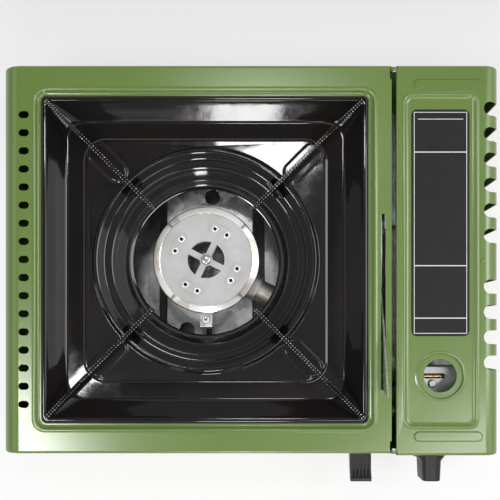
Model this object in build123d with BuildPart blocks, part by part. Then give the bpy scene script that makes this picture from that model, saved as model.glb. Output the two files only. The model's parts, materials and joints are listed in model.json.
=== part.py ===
from build123d import *
from math import atan2, cos, degrees, radians, sin, tan
import os

os.makedirs("parts", exist_ok=True)

# Portable single-burner stove for a push-in butane cassette.
# Millimetres. The origin is on the ground under the middle of the stove, +X points to
# the cassette side, -Y to the front with the knob and the lever, +Z up.

# ---------------------------------------------------------------- driving dimensions
# standard cassette that the stove is built round
cassette_radius = 33.5
cassette_length = 185.0
under_cassette = 4.7           # above the base plate
over_cassette = 7.5            # below the top of the cover
beside_cassette = 4.0          # walls and play, both sides together
behind_cassette = 7.5          # from the released carriage to the rear wall

# body
handle_reach = 25.0            # knob and lever, proud of the front wall
foot_height = 6.0
sheet = 0.8                    # pressed body sheet
gauge = 1.0                    # inner brackets
hinge_gap = 3.4                # open gap between top panel and cover
roll_radius = 13.0             # long roll into the left wall
bend_radius = 2.0
corner_radius = 4.0
lip_width = 9.0                # inward lip that the base plate is screwed to
hem_depth = 9.0
seat_clearance = 0.1           # still pieces that stand beside each other
lap_gap = 0.6                  # cover flanges over the bay walls
run_gap = 0.3                  # pieces that move past each other
pin_clearance = 0.05           # running fit of pins, radial
press_clearance = 0.02         # riveted pins, radial

# tray seat in the top panel
border_left = 27.0             # green panel beside the tray
border_right = 15.6
border_ends = 20.5
seat_margin = 5.0              # seat edge outside the tray, each side
seat_corner = 7.0
seat_slope = 3.0
seat_drop = 2.2
ledge_width = 6.0

# vents beside the left roll
vent_count = 17
vent_pitch = 12.45
vent_length = 7.2
vent_width = 5.0
vent_inset = 15.6

# cassette cover
cover_roll = 10.0
cover_skirt = 54.0             # depth of its right wall
cover_flange = 14.0
hinge_flange = 5.0
hinge_drop = 1.5               # hinge axis below the top
hinge_pin_radius = 1.2
pin_head_radius = 2.0
ear_radius = 2.6
ear_thickness = 1.2
knuckle_depth = 8.6
slot_width = 9.7
slot_pitch = 17.5
slots_behind = 6
slots_in_front = 4
slot_margin = 10.0             # solid skirt below the slots
rear_slot_inset = 29.5         # centre of the rearmost slot to the rear edge
slot_inset = 11.0
emboss_drop = 1.2
emboss_slope = 2.6
emboss_left = 4.2
emboss_right = 14.6
emboss_rear = 19.0
emboss_front = 18.6
emboss_corner = 6.0
rib_length = 47.0
rib_width = 6.8
rib_rise = 0.9
rib_inset = 13.2
label_gap = 10.6               # to the sight collar
label_thickness = 0.4
label_corner = 4.0
label_side = 6.1               # to the edges of the pressed panel
label_inset_y = 30.2
sight_radius = 11.5
sight_collar = 16.8
sight_drop = 1.4
sight_shift = 3.0              # sight hole to the burner side of the cassette
sight_from_front = 53.4

# drip tray
tray_skin = 1.0
tray_corner = 4.0
rim_rise = 1.0                 # crest above the top panel
rim_flat = 2.2
rim_lean = 1.8
tray_slope = 12.5
tray_depth = 10.0
gutter_corner = 13.0
gutter_width = 14.0
platform_rise = 1.5
platform_corner = 15.0
bowl_margin = 6.0              # crest of the bowl inside the platform
bowl_crest = 2.4
bowl_bank = 11.5               # from the crest in to the step
bowl_step_drop = 4.0
bowl_gap = 13.9                # round the burner
bowl_drop = 13.0
boss_length = 34.0
boss_width = 16.0
boss_rise = 1.6
boss_offset = 14.5             # outside the bowl

# pan supports
fin_thickness = 2.0
fin_top = 12.0                 # above the top panel
fin_tip_radius = 48.4
fin_height = 9.5
fin_foot_width = 14.0
fin_foot_thickness = 1.6
fin_fall = 35.9                # sloping end of the top edge

# burner
burner_shift_x = 0.3           # from the middle of the tray
burner_shift_y = 0.7
burner_top_drop = 10.0         # burner face below the top panel
burner_radius = 37.4
burner_face_radius = 32.2
burner_wall = 2.4
burner_depth = 36.0
ring_height = 5.6
ring_fall = 2.4
plate_thickness = 1.0
throat_radius = 12.85
spoke_width = 4.3
spoke_angle = 63.0
hub_radius = 4.6
pad_radius = 22.5
pad_span = 26.0
pad_width = 7.6
pad_rise = 0.3
pad_angle = 62.0
eyelet_radius = 2.6
eyelet_bore = 1.15
eyelet_spread = 12.0
port_count = 36
port_width = 1.4
port_height = 1.8
screw_head = 3.5
screw_head_height = 1.6

# mixing tube
tube_radius = 8.0
tube_wall = 0.8
tube_drop = 31.6               # tube axis below the burner face

# burner channel
channel_top = 63.0
channel_base = 80.0
channel_drop = 6.2             # its top below the burner
channel_flange = 9.0
channel_hole = 5.6

# igniter
electrode_radius = 0.8
ceramic_radius = 2.5
wire_radius = 2.0
igniter_gap = 4.2              # plug axis outside the burner

# gas control
knob_shift = 4.0               # knob to the burner side of the cassette
knob_skirt_radius = 12.4
knob_bar_width = 14.4
knob_bar_height = 30.0
dial_radius = 22.0
dial_thickness = 1.4
spindle_radius = 3.0
regulator_width = 34.0
regulator_height = 30.0
regulator_length = 46.0
regulator_setback = 14.0
collar_gap = 5.0               # regulator to the collar behind it
diaphragm_radius = 15.0
nozzle_radius = 3.0

# lock lever
lever_inset = 17.3             # lever to the panel edge
lever_width = 15.2
lever_shaft_radius = 3.0
lever_shaft_z = 36.0
lever_shaft_setback = 22.0
lever_travel = 25.0            # degrees
crank_radius = 19.0

# cassette support
cradle_reach = 100.0           # behind the collar
cradle_gap = 0.5
carriage_width = 30.0
carriage_travel = 8.2

# pan guard
guard_inset = 5.7              # slot to the panel edge
guard_slot_width = 3.1
guard_slot_front = 43.4        # from the front edge
guard_slot_length = 121.5
guard_thickness = 1.2
guard_rise = 23.0
guard_lean = 3.0               # tip in front of the slot's end
guard_fold = 12.5              # degrees
guard_shift = 9.5              # pin travel in its long holes while it folds
guard_pin_radius = 1.5
guard_pin_drop = 12.0
guard_pin_inset = 5.0

# ---------------------------------------------------------------- derived places
floor_z = foot_height + sheet
knob_z = floor_z + under_cassette + cassette_radius
body_height = knob_z + cassette_radius + over_cassette
gas_depth = regulator_setback + regulator_length + collar_gap + gauge
body_depth = gas_depth + cassette_length + carriage_travel + run_gap + behind_cassette
bay_width = 2 * cassette_radius + beside_cassette
tray_width = body_depth - 2 * border_ends
body_width = border_left + tray_width + border_right + hinge_gap + bay_width
left_x = -body_width / 2
right_x = body_width / 2
rear_y = (body_depth + handle_reach) / 2
front_y = rear_y - body_depth
mid_y = (front_y + rear_y) / 2
top_z = body_height
panel_right = right_x - bay_width - hinge_gap
panel_under = top_z - sheet
cover_left = right_x - bay_width
cover_front = front_y - lap_gap - sheet
bay_right = right_x - sheet - lap_gap
bay_rear = rear_y - sheet - lap_gap
skirt_z = top_z - cover_skirt
slot_drop = cover_skirt - slot_margin
bay_wall_top = panel_under - lap_gap
right_wall_top = skirt_z + 4.0
hinge_x = panel_right + hinge_gap / 2
hinge_z = top_z - hinge_drop
tray_x = panel_right - border_right - tray_width / 2
tray_y = mid_y
burner_x = tray_x + burner_shift_x
burner_y = tray_y + burner_shift_y
cassette_x = (panel_right + bay_right - sheet) / 2 + 0.8
knob_x = cassette_x - knob_shift
lever_x = panel_right - lever_inset
guard_x = panel_right - guard_inset
seat_width = tray_width + 2 * seat_margin
seat_inner = seat_width - 2 * seat_slope
seat_opening = seat_inner - 2 * ledge_width
seat_z = top_z - seat_drop
knuckle_width = ear_radius + run_gap
regulator_front = front_y + regulator_setback
regulator_rear = regulator_front + regulator_length
regulator_left = knob_x - regulator_width / 2
outlet_y = regulator_rear - 4.6
tube_angle = degrees(atan2(outlet_y - burner_y, regulator_left + 4 - burner_x))


def plate_xy(x0, x1, y0, y1, z, height, mode=Mode.ADD):
    """Upright block between two corners, from z up by height, in the open part."""
    with BuildSketch(Plane.XY.offset(z)) as outline:
        with Locations(((x0 + x1) / 2, (y0 + y1) / 2)):
            Rectangle(x1 - x0, y1 - y0)
    extrude(outline.sketch, amount=height, mode=mode)


def frustum(x, y, width0, corner0, z0, width1, corner1, z1, mode=Mode.ADD):
    """Square funnel with rounded corners between two heights."""
    with BuildSketch(Plane.XY.offset(z0)) as start:
        with Locations((x, y)):
            RectangleRounded(width0, width0, corner0)
    with BuildSketch(Plane.XY.offset(z1)) as end:
        with Locations((x, y)):
            RectangleRounded(width1, width1, corner1)
    loft([start.sketch, end.sketch], mode=mode)


def facing_y(x, y, z):
    """Plane that looks along +Y, with X to the right and Z up."""
    return Plane(origin=(x, y, z), x_dir=(1, 0, 0), z_dir=(0, -1, 0))


def rod(start, end, radius, mode=Mode.ADD):
    """Round bar between two points of the open part."""
    start = Vector(*start)
    direction = Vector(*end) - start
    with BuildSketch(Plane(origin=start, z_dir=direction)) as section:
        Circle(radius)
    extrude(section.sketch, amount=direction.length, mode=mode)


def save(part, label):
    """Names the piece and writes its file."""
    part.label = label
    export_step(part, f"parts/{label}.step")


# ---------------------------------------------------------------- body shell
lever_slot_width = lever_width + 1.2
lever_slot_low = 25.0
lever_slot_high = 53.0
spindle_hole = spindle_radius + 1.2

with BuildPart() as body_shell:
    # burner side: a pressed box, open below and towards the bay
    plate_xy(left_x, panel_right, front_y, rear_y, floor_z, top_z - floor_z)
    top_face = body_shell.faces().sort_by(Axis.Z)[-1]
    fillet(top_face.edges().sort_by(Axis.X)[0], radius=roll_radius)
    for end_face in (body_shell.faces().sort_by(Axis.Y)[0], body_shell.faces().sort_by(Axis.Y)[-1]):
        bends = end_face.edges().sort_by(Axis.Z)[1:].sort_by(Axis.X)[:-1]
        fillet(bends, radius=bend_radius)
    open_below = body_shell.faces().sort_by(Axis.Z)[0]
    open_right = body_shell.faces().sort_by(Axis.X)[-1]
    offset(amount=-sheet, openings=[open_below, open_right])
    # hem along the gap, stopped short of the hinge knuckles
    plate_xy(
        panel_right - sheet, panel_right,
        front_y + knuckle_depth, rear_y - knuckle_depth,
        top_z - hem_depth, hem_depth - sheet,
    )
    # bay walls: front in line with the panel, rear stepped in under the cover flange
    plate_xy(panel_right, bay_right, front_y, front_y + sheet, floor_z, bay_wall_top - floor_z)
    plate_xy(panel_right, bay_right, bay_rear - sheet, bay_rear, floor_z, bay_wall_top - floor_z)
    plate_xy(panel_right - sheet, panel_right, bay_rear - sheet, rear_y, floor_z, bay_wall_top - floor_z)
    plate_xy(bay_right - sheet, bay_right, front_y, bay_rear, floor_z, right_wall_top - floor_z)
    # upper corners follow the roll of the cover
    wall_corners = body_shell.edges().filter_by(Axis.Y).filter_by_position(
        Axis.X, bay_right - 0.01, bay_right + 0.01
    )
    fillet(wall_corners.filter_by_position(
        Axis.Z, bay_wall_top - 0.01, bay_wall_top + 0.01
    ), radius=cover_roll - sheet - lap_gap)
    # hinge lugs that stand up in the gap
    for lug_y in (front_y, bay_rear - sheet):
        with BuildSketch(facing_y(hinge_x, lug_y, hinge_z)):
            Circle(ear_radius)
        extrude(amount=-sheet)
        with BuildSketch(facing_y(hinge_x, lug_y, hinge_z)):
            Circle(hinge_pin_radius + press_clearance)
        extrude(amount=-sheet, mode=Mode.SUBTRACT)
    # notches in the panel for the turning ears of the cover
    for notch_from, notch_to in (
        (front_y + sheet, front_y + knuckle_depth),
        (bay_rear - knuckle_depth, bay_rear - sheet),
    ):
        plate_xy(
            hinge_x - knuckle_width, panel_right, notch_from, notch_to,
            panel_under - lap_gap, sheet + lap_gap, mode=Mode.SUBTRACT,
        )
    # lip round the underside
    with BuildSketch(Plane.XY.offset(floor_z)):
        with Locations(((left_x + bay_right) / 2, (front_y + bay_rear) / 2)):
            Rectangle(bay_right - left_x - sheet, bay_rear - front_y - sheet)
            Rectangle(
                bay_right - left_x - 2 * lip_width, bay_rear - front_y - 2 * lip_width,
                mode=Mode.SUBTRACT,
            )
    extrude(amount=sheet)
    # stepped seat for the drip tray
    frustum(
        tray_x, tray_y,
        seat_width + 2 * sheet, seat_corner + sheet, panel_under,
        seat_inner + 2 * sheet, seat_corner + sheet - 1, seat_z - sheet,
    )
    frustum(
        tray_x, tray_y,
        seat_width, seat_corner, top_z,
        seat_inner, seat_corner - 1, seat_z, mode=Mode.SUBTRACT,
    )
    with BuildSketch(Plane.XY.offset(seat_z - sheet)):
        with Locations((tray_x, tray_y)):
            RectangleRounded(seat_opening, seat_opening, seat_corner)
    extrude(amount=sheet, mode=Mode.SUBTRACT)
    # row of oval vents
    with BuildSketch(Plane.XY.offset(panel_under)):
        with Locations((left_x + vent_inset, mid_y)):
            with GridLocations(1, vent_pitch, 1, vent_count):
                SlotOverall(vent_length, vent_width)
    extrude(amount=sheet, mode=Mode.SUBTRACT)
    # long slot of the pan guard
    with BuildSketch(Plane.XY.offset(panel_under)):
        with Locations((guard_x, front_y + guard_slot_front + guard_slot_length / 2)):
            SlotOverall(guard_slot_length, guard_slot_width, rotation=90)
    extrude(amount=sheet, mode=Mode.SUBTRACT)
    # front openings for the lever and the valve spindle
    with BuildSketch(facing_y(lever_x, front_y, (lever_slot_low + lever_slot_high) / 2)):
        Rectangle(lever_slot_width, lever_slot_high - lever_slot_low)
    extrude(amount=-sheet, mode=Mode.SUBTRACT)
    with BuildSketch(facing_y(knob_x, front_y, knob_z)):
        Circle(spindle_hole)
    extrude(amount=-sheet, mode=Mode.SUBTRACT)
save(body_shell.part, "body_shell")

# ---------------------------------------------------------------- base plate, screws, feet
base_inset = 1.2
foot_inset_x = 13.5
foot_inset_y = 26.0
foot_radius = 9.0
foot_neck = 3.0
base_screw_inset = lip_width / 2 + sheet
base_screw_radius = 1.6
base_screw_head = 3.2
screw_points = [
    (left_x + base_screw_inset, front_y + base_screw_inset),
    (left_x + base_screw_inset, bay_rear - base_screw_inset),
    (bay_right - base_screw_inset, front_y + base_screw_inset),
    (bay_right - base_screw_inset, bay_rear - base_screw_inset),
    (tray_x, front_y + base_screw_inset),
    (tray_x, bay_rear - base_screw_inset),
]
foot_points = [
    (left_x + foot_inset_x, front_y + foot_inset_y),
    (left_x + foot_inset_x, bay_rear - foot_inset_y),
    (bay_right - foot_inset_x, front_y + foot_inset_y),
    (bay_right - foot_inset_x, bay_rear - foot_inset_y),
]

with BuildPart() as base_plate:
    with BuildSketch(Plane.XY.offset(foot_height)):
        with Locations(((left_x + bay_right) / 2, (front_y + bay_rear) / 2)):
            RectangleRounded(
                bay_right - left_x - 2 * base_inset,
                bay_rear - front_y - 2 * base_inset,
                corner_radius,
            )
        with Locations(*screw_points):
            Circle(base_screw_radius, mode=Mode.SUBTRACT)
        with Locations(*foot_points):
            Circle(foot_neck, mode=Mode.SUBTRACT)
        # cooling slots under the burner and under the cassette
        with Locations((left_x + 48, mid_y), (panel_right - 32, mid_y + 24)):
            with GridLocations(1, 16, 1, 7):
                SlotOverall(26, 4, mode=Mode.SUBTRACT)
        with Locations((knob_x + 4.5, mid_y + 30)):
            with GridLocations(1, 22, 1, 4):
                SlotOverall(20, 5, mode=Mode.SUBTRACT)
    extrude(amount=sheet)
save(base_plate.part, "base_plate")

with BuildPart() as base_screws:
    with BuildSketch(Plane.XY.offset(foot_height)):
        with Locations(*screw_points):
            Circle(base_screw_head)
    extrude(amount=-screw_head_height)
    head_rims = base_screws.edges().group_by(Axis.Z)[0]
    fillet(head_rims, radius=0.7)
    with BuildSketch(Plane.XY.offset(foot_height)):
        with Locations(*screw_points):
            Circle(base_screw_radius - pin_clearance)
    extrude(amount=sheet)
save(base_screws.part, "base_screws")

with BuildPart() as rubber_feet:
    with BuildSketch():
        with Locations(*foot_points):
            Circle(foot_radius)
    extrude(amount=foot_height, taper=4)
    sole_rims = rubber_feet.edges().group_by(Axis.Z)[0]
    fillet(sole_rims, radius=1.0)
    with BuildSketch(Plane.XY.offset(foot_height)):
        with Locations(*foot_points):
            Circle(foot_neck - pin_clearance)
    extrude(amount=sheet)
    with BuildSketch(Plane.XY.offset(floor_z)):
        with Locations(*foot_points):
            Circle(foot_neck + 1.2)
    extrude(amount=1.6, taper=18)
save(rubber_feet.part, "rubber_feet")

# ---------------------------------------------------------------- heat divider
divider_flange = 5.0
divider_right = panel_right - sheet
divider_left = divider_right - sheet
divider_top = panel_under - seat_clearance
divider_front = front_y + sheet + seat_clearance
divider_rear = bay_rear - sheet - seat_clearance
tube_dir = Vector(cos(radians(tube_angle)), sin(radians(tube_angle)), 0)
burner_face_z = top_z - burner_top_drop
tube_z = burner_face_z - tube_drop
tube_cross_y = burner_y + (divider_left - burner_x) * tan(radians(tube_angle))
lever_shaft_y = front_y + lever_shaft_setback
wire_z = 30.0
wire_hole_y = front_y + 45.0

with BuildPart() as heat_divider:
    plate_xy(divider_left, divider_right, divider_front, divider_rear, floor_z + sheet, divider_top - floor_z - sheet)
    # foot flange on the base plate and stiffening head under the panel
    plate_xy(
        divider_left - divider_flange, divider_right, divider_front + lip_width, divider_rear - lip_width,
        floor_z, sheet,
    )
    # clear of the tube, the lever shaft, the ignition wire and the guard bracket
    with BuildSketch(Plane(origin=(divider_left, 0, 0), x_dir=(0, 1, 0), z_dir=(1, 0, 0))):
        with Locations((tube_cross_y, tube_z)):
            SlotOverall(2 * tube_radius + 9, 2 * tube_radius + 3)
        with Locations((lever_shaft_y, lever_shaft_z)):
            Circle(lever_shaft_radius + 0.6)
        with Locations((wire_hole_y, wire_z)):
            Circle(wire_radius + 1.4)
        with Locations((mid_y + 62, (floor_z + divider_top) / 2)):
            with GridLocations(15, 1, 6, 1):
                SlotOverall(34, 5, rotation=90)
    extrude(amount=sheet, mode=Mode.SUBTRACT)
    # corners cut down under the hinge knuckles
    for corner_y in (divider_front, divider_rear - knuckle_depth):
        plate_xy(
            divider_left, divider_right, corner_y, corner_y + knuckle_depth,
            hinge_z - ear_radius - 1.5, ear_radius + 4, mode=Mode.SUBTRACT,
        )
save(heat_divider.part, "heat_divider")

# ---------------------------------------------------------------- burner channel
burner_low = burner_face_z - burner_depth
channel_z = burner_low - channel_drop
channel_front = front_y + sheet + lip_width + 2
channel_rear = rear_y - sheet - lip_width - 2
half_top = channel_top / 2
half_base = channel_base / 2

with BuildPart() as burner_channel:
    with BuildSketch(facing_y(burner_x, channel_front, 0)):
        with BuildLine():
            Polyline(
                (-half_base - channel_flange, floor_z),
                (-half_base, floor_z),
                (-half_top, channel_z - gauge),
                (half_top, channel_z - gauge),
                (half_base, floor_z),
                (half_base + channel_flange, floor_z),
            )
            offset(amount=gauge, side=Side.LEFT)
        make_face()
    extrude(amount=-(channel_rear - channel_front))
    # round openings in the top
    with BuildSketch(Plane.XY.offset(channel_z - gauge)):
        with Locations((burner_x + 1.9, burner_y + 50.4), (burner_x - 17.2, burner_y - 48.8)):
            Circle(channel_hole)
    extrude(amount=gauge, mode=Mode.SUBTRACT)
save(burner_channel.part, "burner_channel")

# ---------------------------------------------------------------- burner
ring_top = burner_face_z - plate_thickness
ring_low = ring_top - ring_height
leg_circle = 24.0
leg_radius = 3.6
tube_start = 24.0
socket_end = 41.0

with BuildPart() as burner_base:
    with BuildSketch(facing_y(burner_x, burner_y, 0)):
        with BuildLine():
            Polyline(
                (throat_radius + 0.4, ring_low),
                (throat_radius + 0.4, burner_low + 4),
                (throat_radius + 4.4, burner_low),
                (burner_radius - 9, burner_low),
                (burner_radius - 3.4, burner_low + 6),
                (burner_radius - 3.4, ring_low - 2),
                (burner_radius, ring_low),
                (burner_radius - burner_wall - 3.4, ring_low),
                (burner_radius - burner_wall - 3.4, burner_low + 6.5),
                (burner_radius - 10, burner_low + burner_wall),
                (throat_radius + 5, burner_low + burner_wall),
                (throat_radius + 0.4 + burner_wall, burner_low + 5),
                (throat_radius + 0.4 + burner_wall, ring_low),
                close=True,
            )
        make_face()
    revolve(axis=Axis((burner_x, burner_y, 0), (0, 0, 1)))
    # hub and arms across the throat
    with BuildSketch(Plane.XY.offset(ring_low)):
        with Locations((burner_x, burner_y)):
            Circle(hub_radius)
            with PolarLocations(0, 2, start_angle=spoke_angle, angular_range=180):
                Rectangle(2 * throat_radius + 2.4, spoke_width)
    extrude(amount=-8)
    with BuildSketch(Plane.XY.offset(ring_low)):
        with Locations((burner_x, burner_y)):
            Circle(hub_radius)
    extrude(amount=ring_height)
    with BuildSketch(Plane.XY.offset(ring_top)):
        with Locations((burner_x, burner_y)):
            Circle(1.5)
    extrude(amount=-10, mode=Mode.SUBTRACT)
    # socket for the mixing tube
    socket_from = Vector(burner_x, burner_y, tube_z) + tube_dir * tube_start
    with BuildSketch(Plane(origin=socket_from, z_dir=tube_dir)):
        Circle(tube_radius + 2)
    extrude(amount=socket_end - tube_start)
    with BuildSketch(Plane(origin=socket_from, z_dir=tube_dir)):
        Circle(tube_radius)
    extrude(amount=socket_end - tube_start, mode=Mode.SUBTRACT)
    # three legs down to the channel
    with BuildSketch(Plane.XY.offset(burner_low)):
        with Locations((burner_x, burner_y)):
            with PolarLocations(leg_circle, 3, start_angle=tube_angle + 60):
                Circle(leg_radius)
    extrude(amount=-(burner_low - channel_z))
    with BuildSketch(Plane.XY.offset(channel_z)):
        with Locations((burner_x, burner_y)):
            with PolarLocations(leg_circle, 3, start_angle=tube_angle + 60):
                Circle(1.2)
    extrude(amount=5, mode=Mode.SUBTRACT)
save(burner_base.part, "burner_base")

with BuildPart() as burner_ring:
    with BuildSketch(facing_y(burner_x, burner_y, 0)):
        with BuildLine():
            Polyline(
                (burner_face_radius - 5, ring_top),
                (burner_face_radius + 0.1, ring_top),
                (burner_face_radius + 0.1, burner_face_z),
                (burner_radius - 0.4, burner_face_z - ring_fall),
                (burner_radius, burner_face_z - ring_fall - 0.5),
                (burner_radius, ring_low),
                (burner_radius - 2.2, ring_low),
                (burner_radius - 2.2, ring_top - 1.8),
                (burner_face_radius - 5, ring_top - 1.8),
                close=True,
            )
        make_face()
    revolve(axis=Axis((burner_x, burner_y, 0), (0, 0, 1)))
    # flame ports round the skirt
    with BuildSketch(Plane.XY.offset(ring_low)):
        with Locations((burner_x, burner_y)):
            with PolarLocations(burner_radius - 1, port_count):
                Rectangle(4, port_width)
    extrude(amount=port_height, mode=Mode.SUBTRACT)
save(burner_ring.part, "burner_ring")

with BuildPart() as burner_plate:
    with BuildSketch(Plane.XY.offset(ring_top)):
        with Locations((burner_x, burner_y)):
            Circle(burner_face_radius)
            Circle(throat_radius, mode=Mode.SUBTRACT)
            with PolarLocations(0, 2, start_angle=spoke_angle, angular_range=180):
                Rectangle(2 * throat_radius + 1, spoke_width)
            Circle(hub_radius)
    extrude(amount=plate_thickness)
    # raised curved pads
    for turn in range(4):
        middle = pad_angle + 90 * turn
        with BuildSketch(Plane((burner_x, burner_y, burner_face_z))):
            pad_arc = Edge.make_circle(
                pad_radius, start_angle=middle - pad_span / 2, end_angle=middle + pad_span / 2
            )
            SlotArc(arc=pad_arc, height=pad_width)
        extrude(amount=pad_rise)
    with BuildSketch(Plane.XY.offset(ring_top)):
        with Locations((burner_x, burner_y)):
            Circle(1.6)
            for turn in range(4):
                for side in (-1, 1):
                    with PolarLocations(pad_radius, 1, start_angle=pad_angle + 90 * turn + side * eyelet_spread):
                        Circle(eyelet_bore + 0.45)
    extrude(amount=plate_thickness + pad_rise, mode=Mode.SUBTRACT)
save(burner_plate.part, "burner_plate")

with BuildPart() as burner_eyelets:
    for turn in range(4):
        for side in (-1, 1):
            angle = radians(pad_angle + 90 * turn + side * eyelet_spread)
            spot = (burner_x + pad_radius * cos(angle), burner_y + pad_radius * sin(angle))
            with BuildSketch(Plane.XY.offset(ring_top)):
                with Locations(spot):
                    Circle(eyelet_bore + 0.4)
            extrude(amount=plate_thickness + pad_rise)
            with BuildSketch(Plane.XY.offset(burner_face_z + pad_rise)):
                with Locations(spot):
                    Circle(eyelet_radius)
            extrude(amount=0.3, taper=30)
            with BuildSketch(Plane.XY.offset(ring_top)):
                with Locations(spot):
                    Circle(eyelet_bore)
            extrude(amount=plate_thickness + 2, mode=Mode.SUBTRACT)
save(burner_eyelets.part, "burner_eyelets")

with BuildPart() as burner_screw:
    with BuildSketch(Plane.XY.offset(burner_face_z)):
        with Locations((burner_x, burner_y)):
            Circle(screw_head)
    extrude(amount=screw_head_height)
    fillet(burner_screw.edges().group_by(Axis.Z)[-1], radius=0.8)
    with BuildSketch(Plane.XY.offset(burner_face_z + screw_head_height)):
        with Locations((burner_x, burner_y)):
            Rectangle(3.6, 0.8)
            Rectangle(0.8, 3.6)
    extrude(amount=-0.9, mode=Mode.SUBTRACT)
    with BuildSketch(Plane.XY.offset(burner_face_z)):
        with Locations((burner_x, burner_y)):
            Circle(1.45)
    extrude(amount=-9)
save(burner_screw.part, "burner_screw")

# screws that hold the burner's legs from under the channel
with BuildPart() as burner_leg_screws:
    with BuildSketch(Plane.XY.offset(channel_z - gauge)):
        with Locations((burner_x, burner_y)):
            with PolarLocations(leg_circle, 3, start_angle=tube_angle + 60):
                Circle(2.8)
    extrude(amount=-screw_head_height)
    fillet(burner_leg_screws.edges().group_by(Axis.Z)[0], radius=0.6)
save(burner_leg_screws.part, "burner_leg_screws")

# ---------------------------------------------------------------- mixing tube
tube_end_x = panel_right + 9.0
tube_reach = (tube_end_x - burner_x) / cos(radians(tube_angle))
tube_mouth = Vector(burner_x, burner_y, tube_z) + tube_dir * tube_reach
tube_seat = Vector(burner_x, burner_y, tube_z) + tube_dir * (tube_start + 2)

with BuildPart() as mixing_tube:
    rod(tube_seat, tube_mouth, tube_radius - seat_clearance / 2)
    # flared bell at the jet end
    flare_from = Vector(burner_x, burner_y, tube_z) + tube_dir * (tube_reach - 6)
    with BuildSketch(Plane(origin=flare_from, z_dir=tube_dir)):
        Circle(tube_radius - seat_clearance / 2)
    extrude(amount=6, taper=-14)
    rod(tube_seat, tube_mouth, tube_radius - tube_wall, mode=Mode.SUBTRACT)
    # air openings beside the jet
    with BuildSketch(Plane.XY.offset(tube_z)):
        with Locations(Location(Vector(burner_x, burner_y, 0) + tube_dir * (tube_reach - 14), (0, 0, tube_angle))):
            SlotOverall(11, 5)
    extrude(amount=2 * tube_radius, both=True, mode=Mode.SUBTRACT)
save(mixing_tube.part, "mixing_tube")

# ---------------------------------------------------------------- igniter at the burner
igniter_x = burner_x - 0.4
igniter_y = burner_y - burner_radius - igniter_gap
bracket_top = burner_face_z - 7.0
bracket_width = 8.7
ceramic_low = channel_z + 3.0
ceramic_high = bracket_top + 3.0
spark_gap = 3.5

with BuildPart() as igniter_bracket:
    with BuildSketch(Plane(origin=(igniter_x - bracket_width / 2, 0, 0), x_dir=(0, 1, 0), z_dir=(1, 0, 0))):
        with BuildLine():
            Polyline(
                (igniter_y - 14, channel_z),
                (igniter_y - 4.6, channel_z),
                (igniter_y - 4.6, bracket_top - gauge),
                (igniter_y + 3.0, bracket_top - gauge),
            )
            offset(amount=gauge, side=Side.LEFT)
        make_face()
    extrude(amount=bracket_width)
    with BuildSketch(Plane.XY.offset(bracket_top - gauge)):
        with Locations((igniter_x, igniter_y)):
            Circle(ceramic_radius + pin_clearance)
    extrude(amount=2 * gauge, mode=Mode.SUBTRACT)
save(igniter_bracket.part, "igniter_bracket")

with BuildPart() as igniter_ceramic:
    with BuildSketch(Plane.XY.offset(ceramic_low)):
        with Locations((igniter_x, igniter_y)):
            Circle(ceramic_radius)
            Circle(electrode_radius + pin_clearance, mode=Mode.SUBTRACT)
    extrude(amount=ceramic_high - ceramic_low)
    chamfer(igniter_ceramic.edges().group_by(Axis.Z)[-1], length=0.5)
save(igniter_ceramic.part, "igniter_ceramic")

with BuildPart() as igniter_electrode:
    with BuildLine():
        FilletPolyline(
            (igniter_x, igniter_y, ceramic_low),
            (igniter_x, igniter_y, ceramic_high + 2.4),
            (igniter_x, burner_y - burner_radius - spark_gap + 1.5, ceramic_high + 2.6),
            radius=1.4,
        )
    with BuildSketch(Plane.XY.offset(ceramic_low)):
        with Locations((igniter_x, igniter_y)):
            Circle(electrode_radius)
    sweep()
save(igniter_electrode.part, "igniter_electrode")

# ---------------------------------------------------------------- piezo igniter and its wire
piezo_x = panel_right + 11.0
piezo_size = 11.0
piezo_length = 26.0
piezo_z = 68.0
piezo_front = front_y + sheet + 0.1

with BuildPart() as piezo_igniter:
    with BuildSketch(facing_y(piezo_x, piezo_front, piezo_z)):
        RectangleRounded(piezo_size, piezo_size, 1.5)
    extrude(amount=-piezo_length)
    with BuildSketch(facing_y(piezo_x, piezo_front + piezo_length, piezo_z)):
        Circle(3.4)
    extrude(amount=-5)
save(piezo_igniter.part, "piezo_igniter")

wire_start_y = piezo_front + piezo_length + 5
wire_route = [
    (piezo_x, wire_start_y, piezo_z),
    (piezo_x, wire_start_y + 9, piezo_z),
    (piezo_x - 1.5, wire_start_y + 13.5, piezo_z - 10),
    (piezo_x - 3.5, wire_start_y + 15, piezo_z - 23),
    (divider_right + 5, wire_hole_y + 0.5, wire_z + 3),
    (divider_left - 7, wire_hole_y - 0.5, wire_z - 3),
    (divider_left - 25, wire_hole_y + 3, wire_z - 6),
    (divider_left - 52, wire_hole_y + 1, wire_z - 6),
    (divider_left - 80, wire_hole_y + 5, wire_z + 4),
    (burner_x + 31, igniter_y - 34, channel_z + 6),
    (igniter_x + 12, igniter_y - 29, channel_z + 5),
    (igniter_x + 1, igniter_y - 16, channel_z + 4),
    (igniter_x, igniter_y - 6.5, channel_z + 3.5),
]


def corner_radii(route):
    """Largest arc that each corner of a route leaves room for."""
    radii = []
    for before, here, after in zip(route, route[1:], route[2:]):
        one = Vector(*here) - Vector(*before)
        two = Vector(*after) - Vector(*here)
        turn = radians(one.get_angle(two))
        radii.append(0.45 * min(one.length, two.length) / tan(turn / 2))
    return radii


with BuildPart() as ignition_wire:
    with BuildLine() as wire_path:
        FilletPolyline(*wire_route, radius=corner_radii(wire_route))
    wire_heading = Vector(*wire_route[1]) - Vector(*wire_route[0])
    with BuildSketch(Plane(origin=wire_route[0], z_dir=wire_heading)):
        Circle(wire_radius)
    sweep()
save(ignition_wire.part, "ignition_wire")
print("wire radii", [round(radius, 1) for radius in corner_radii(wire_route)])

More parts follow.
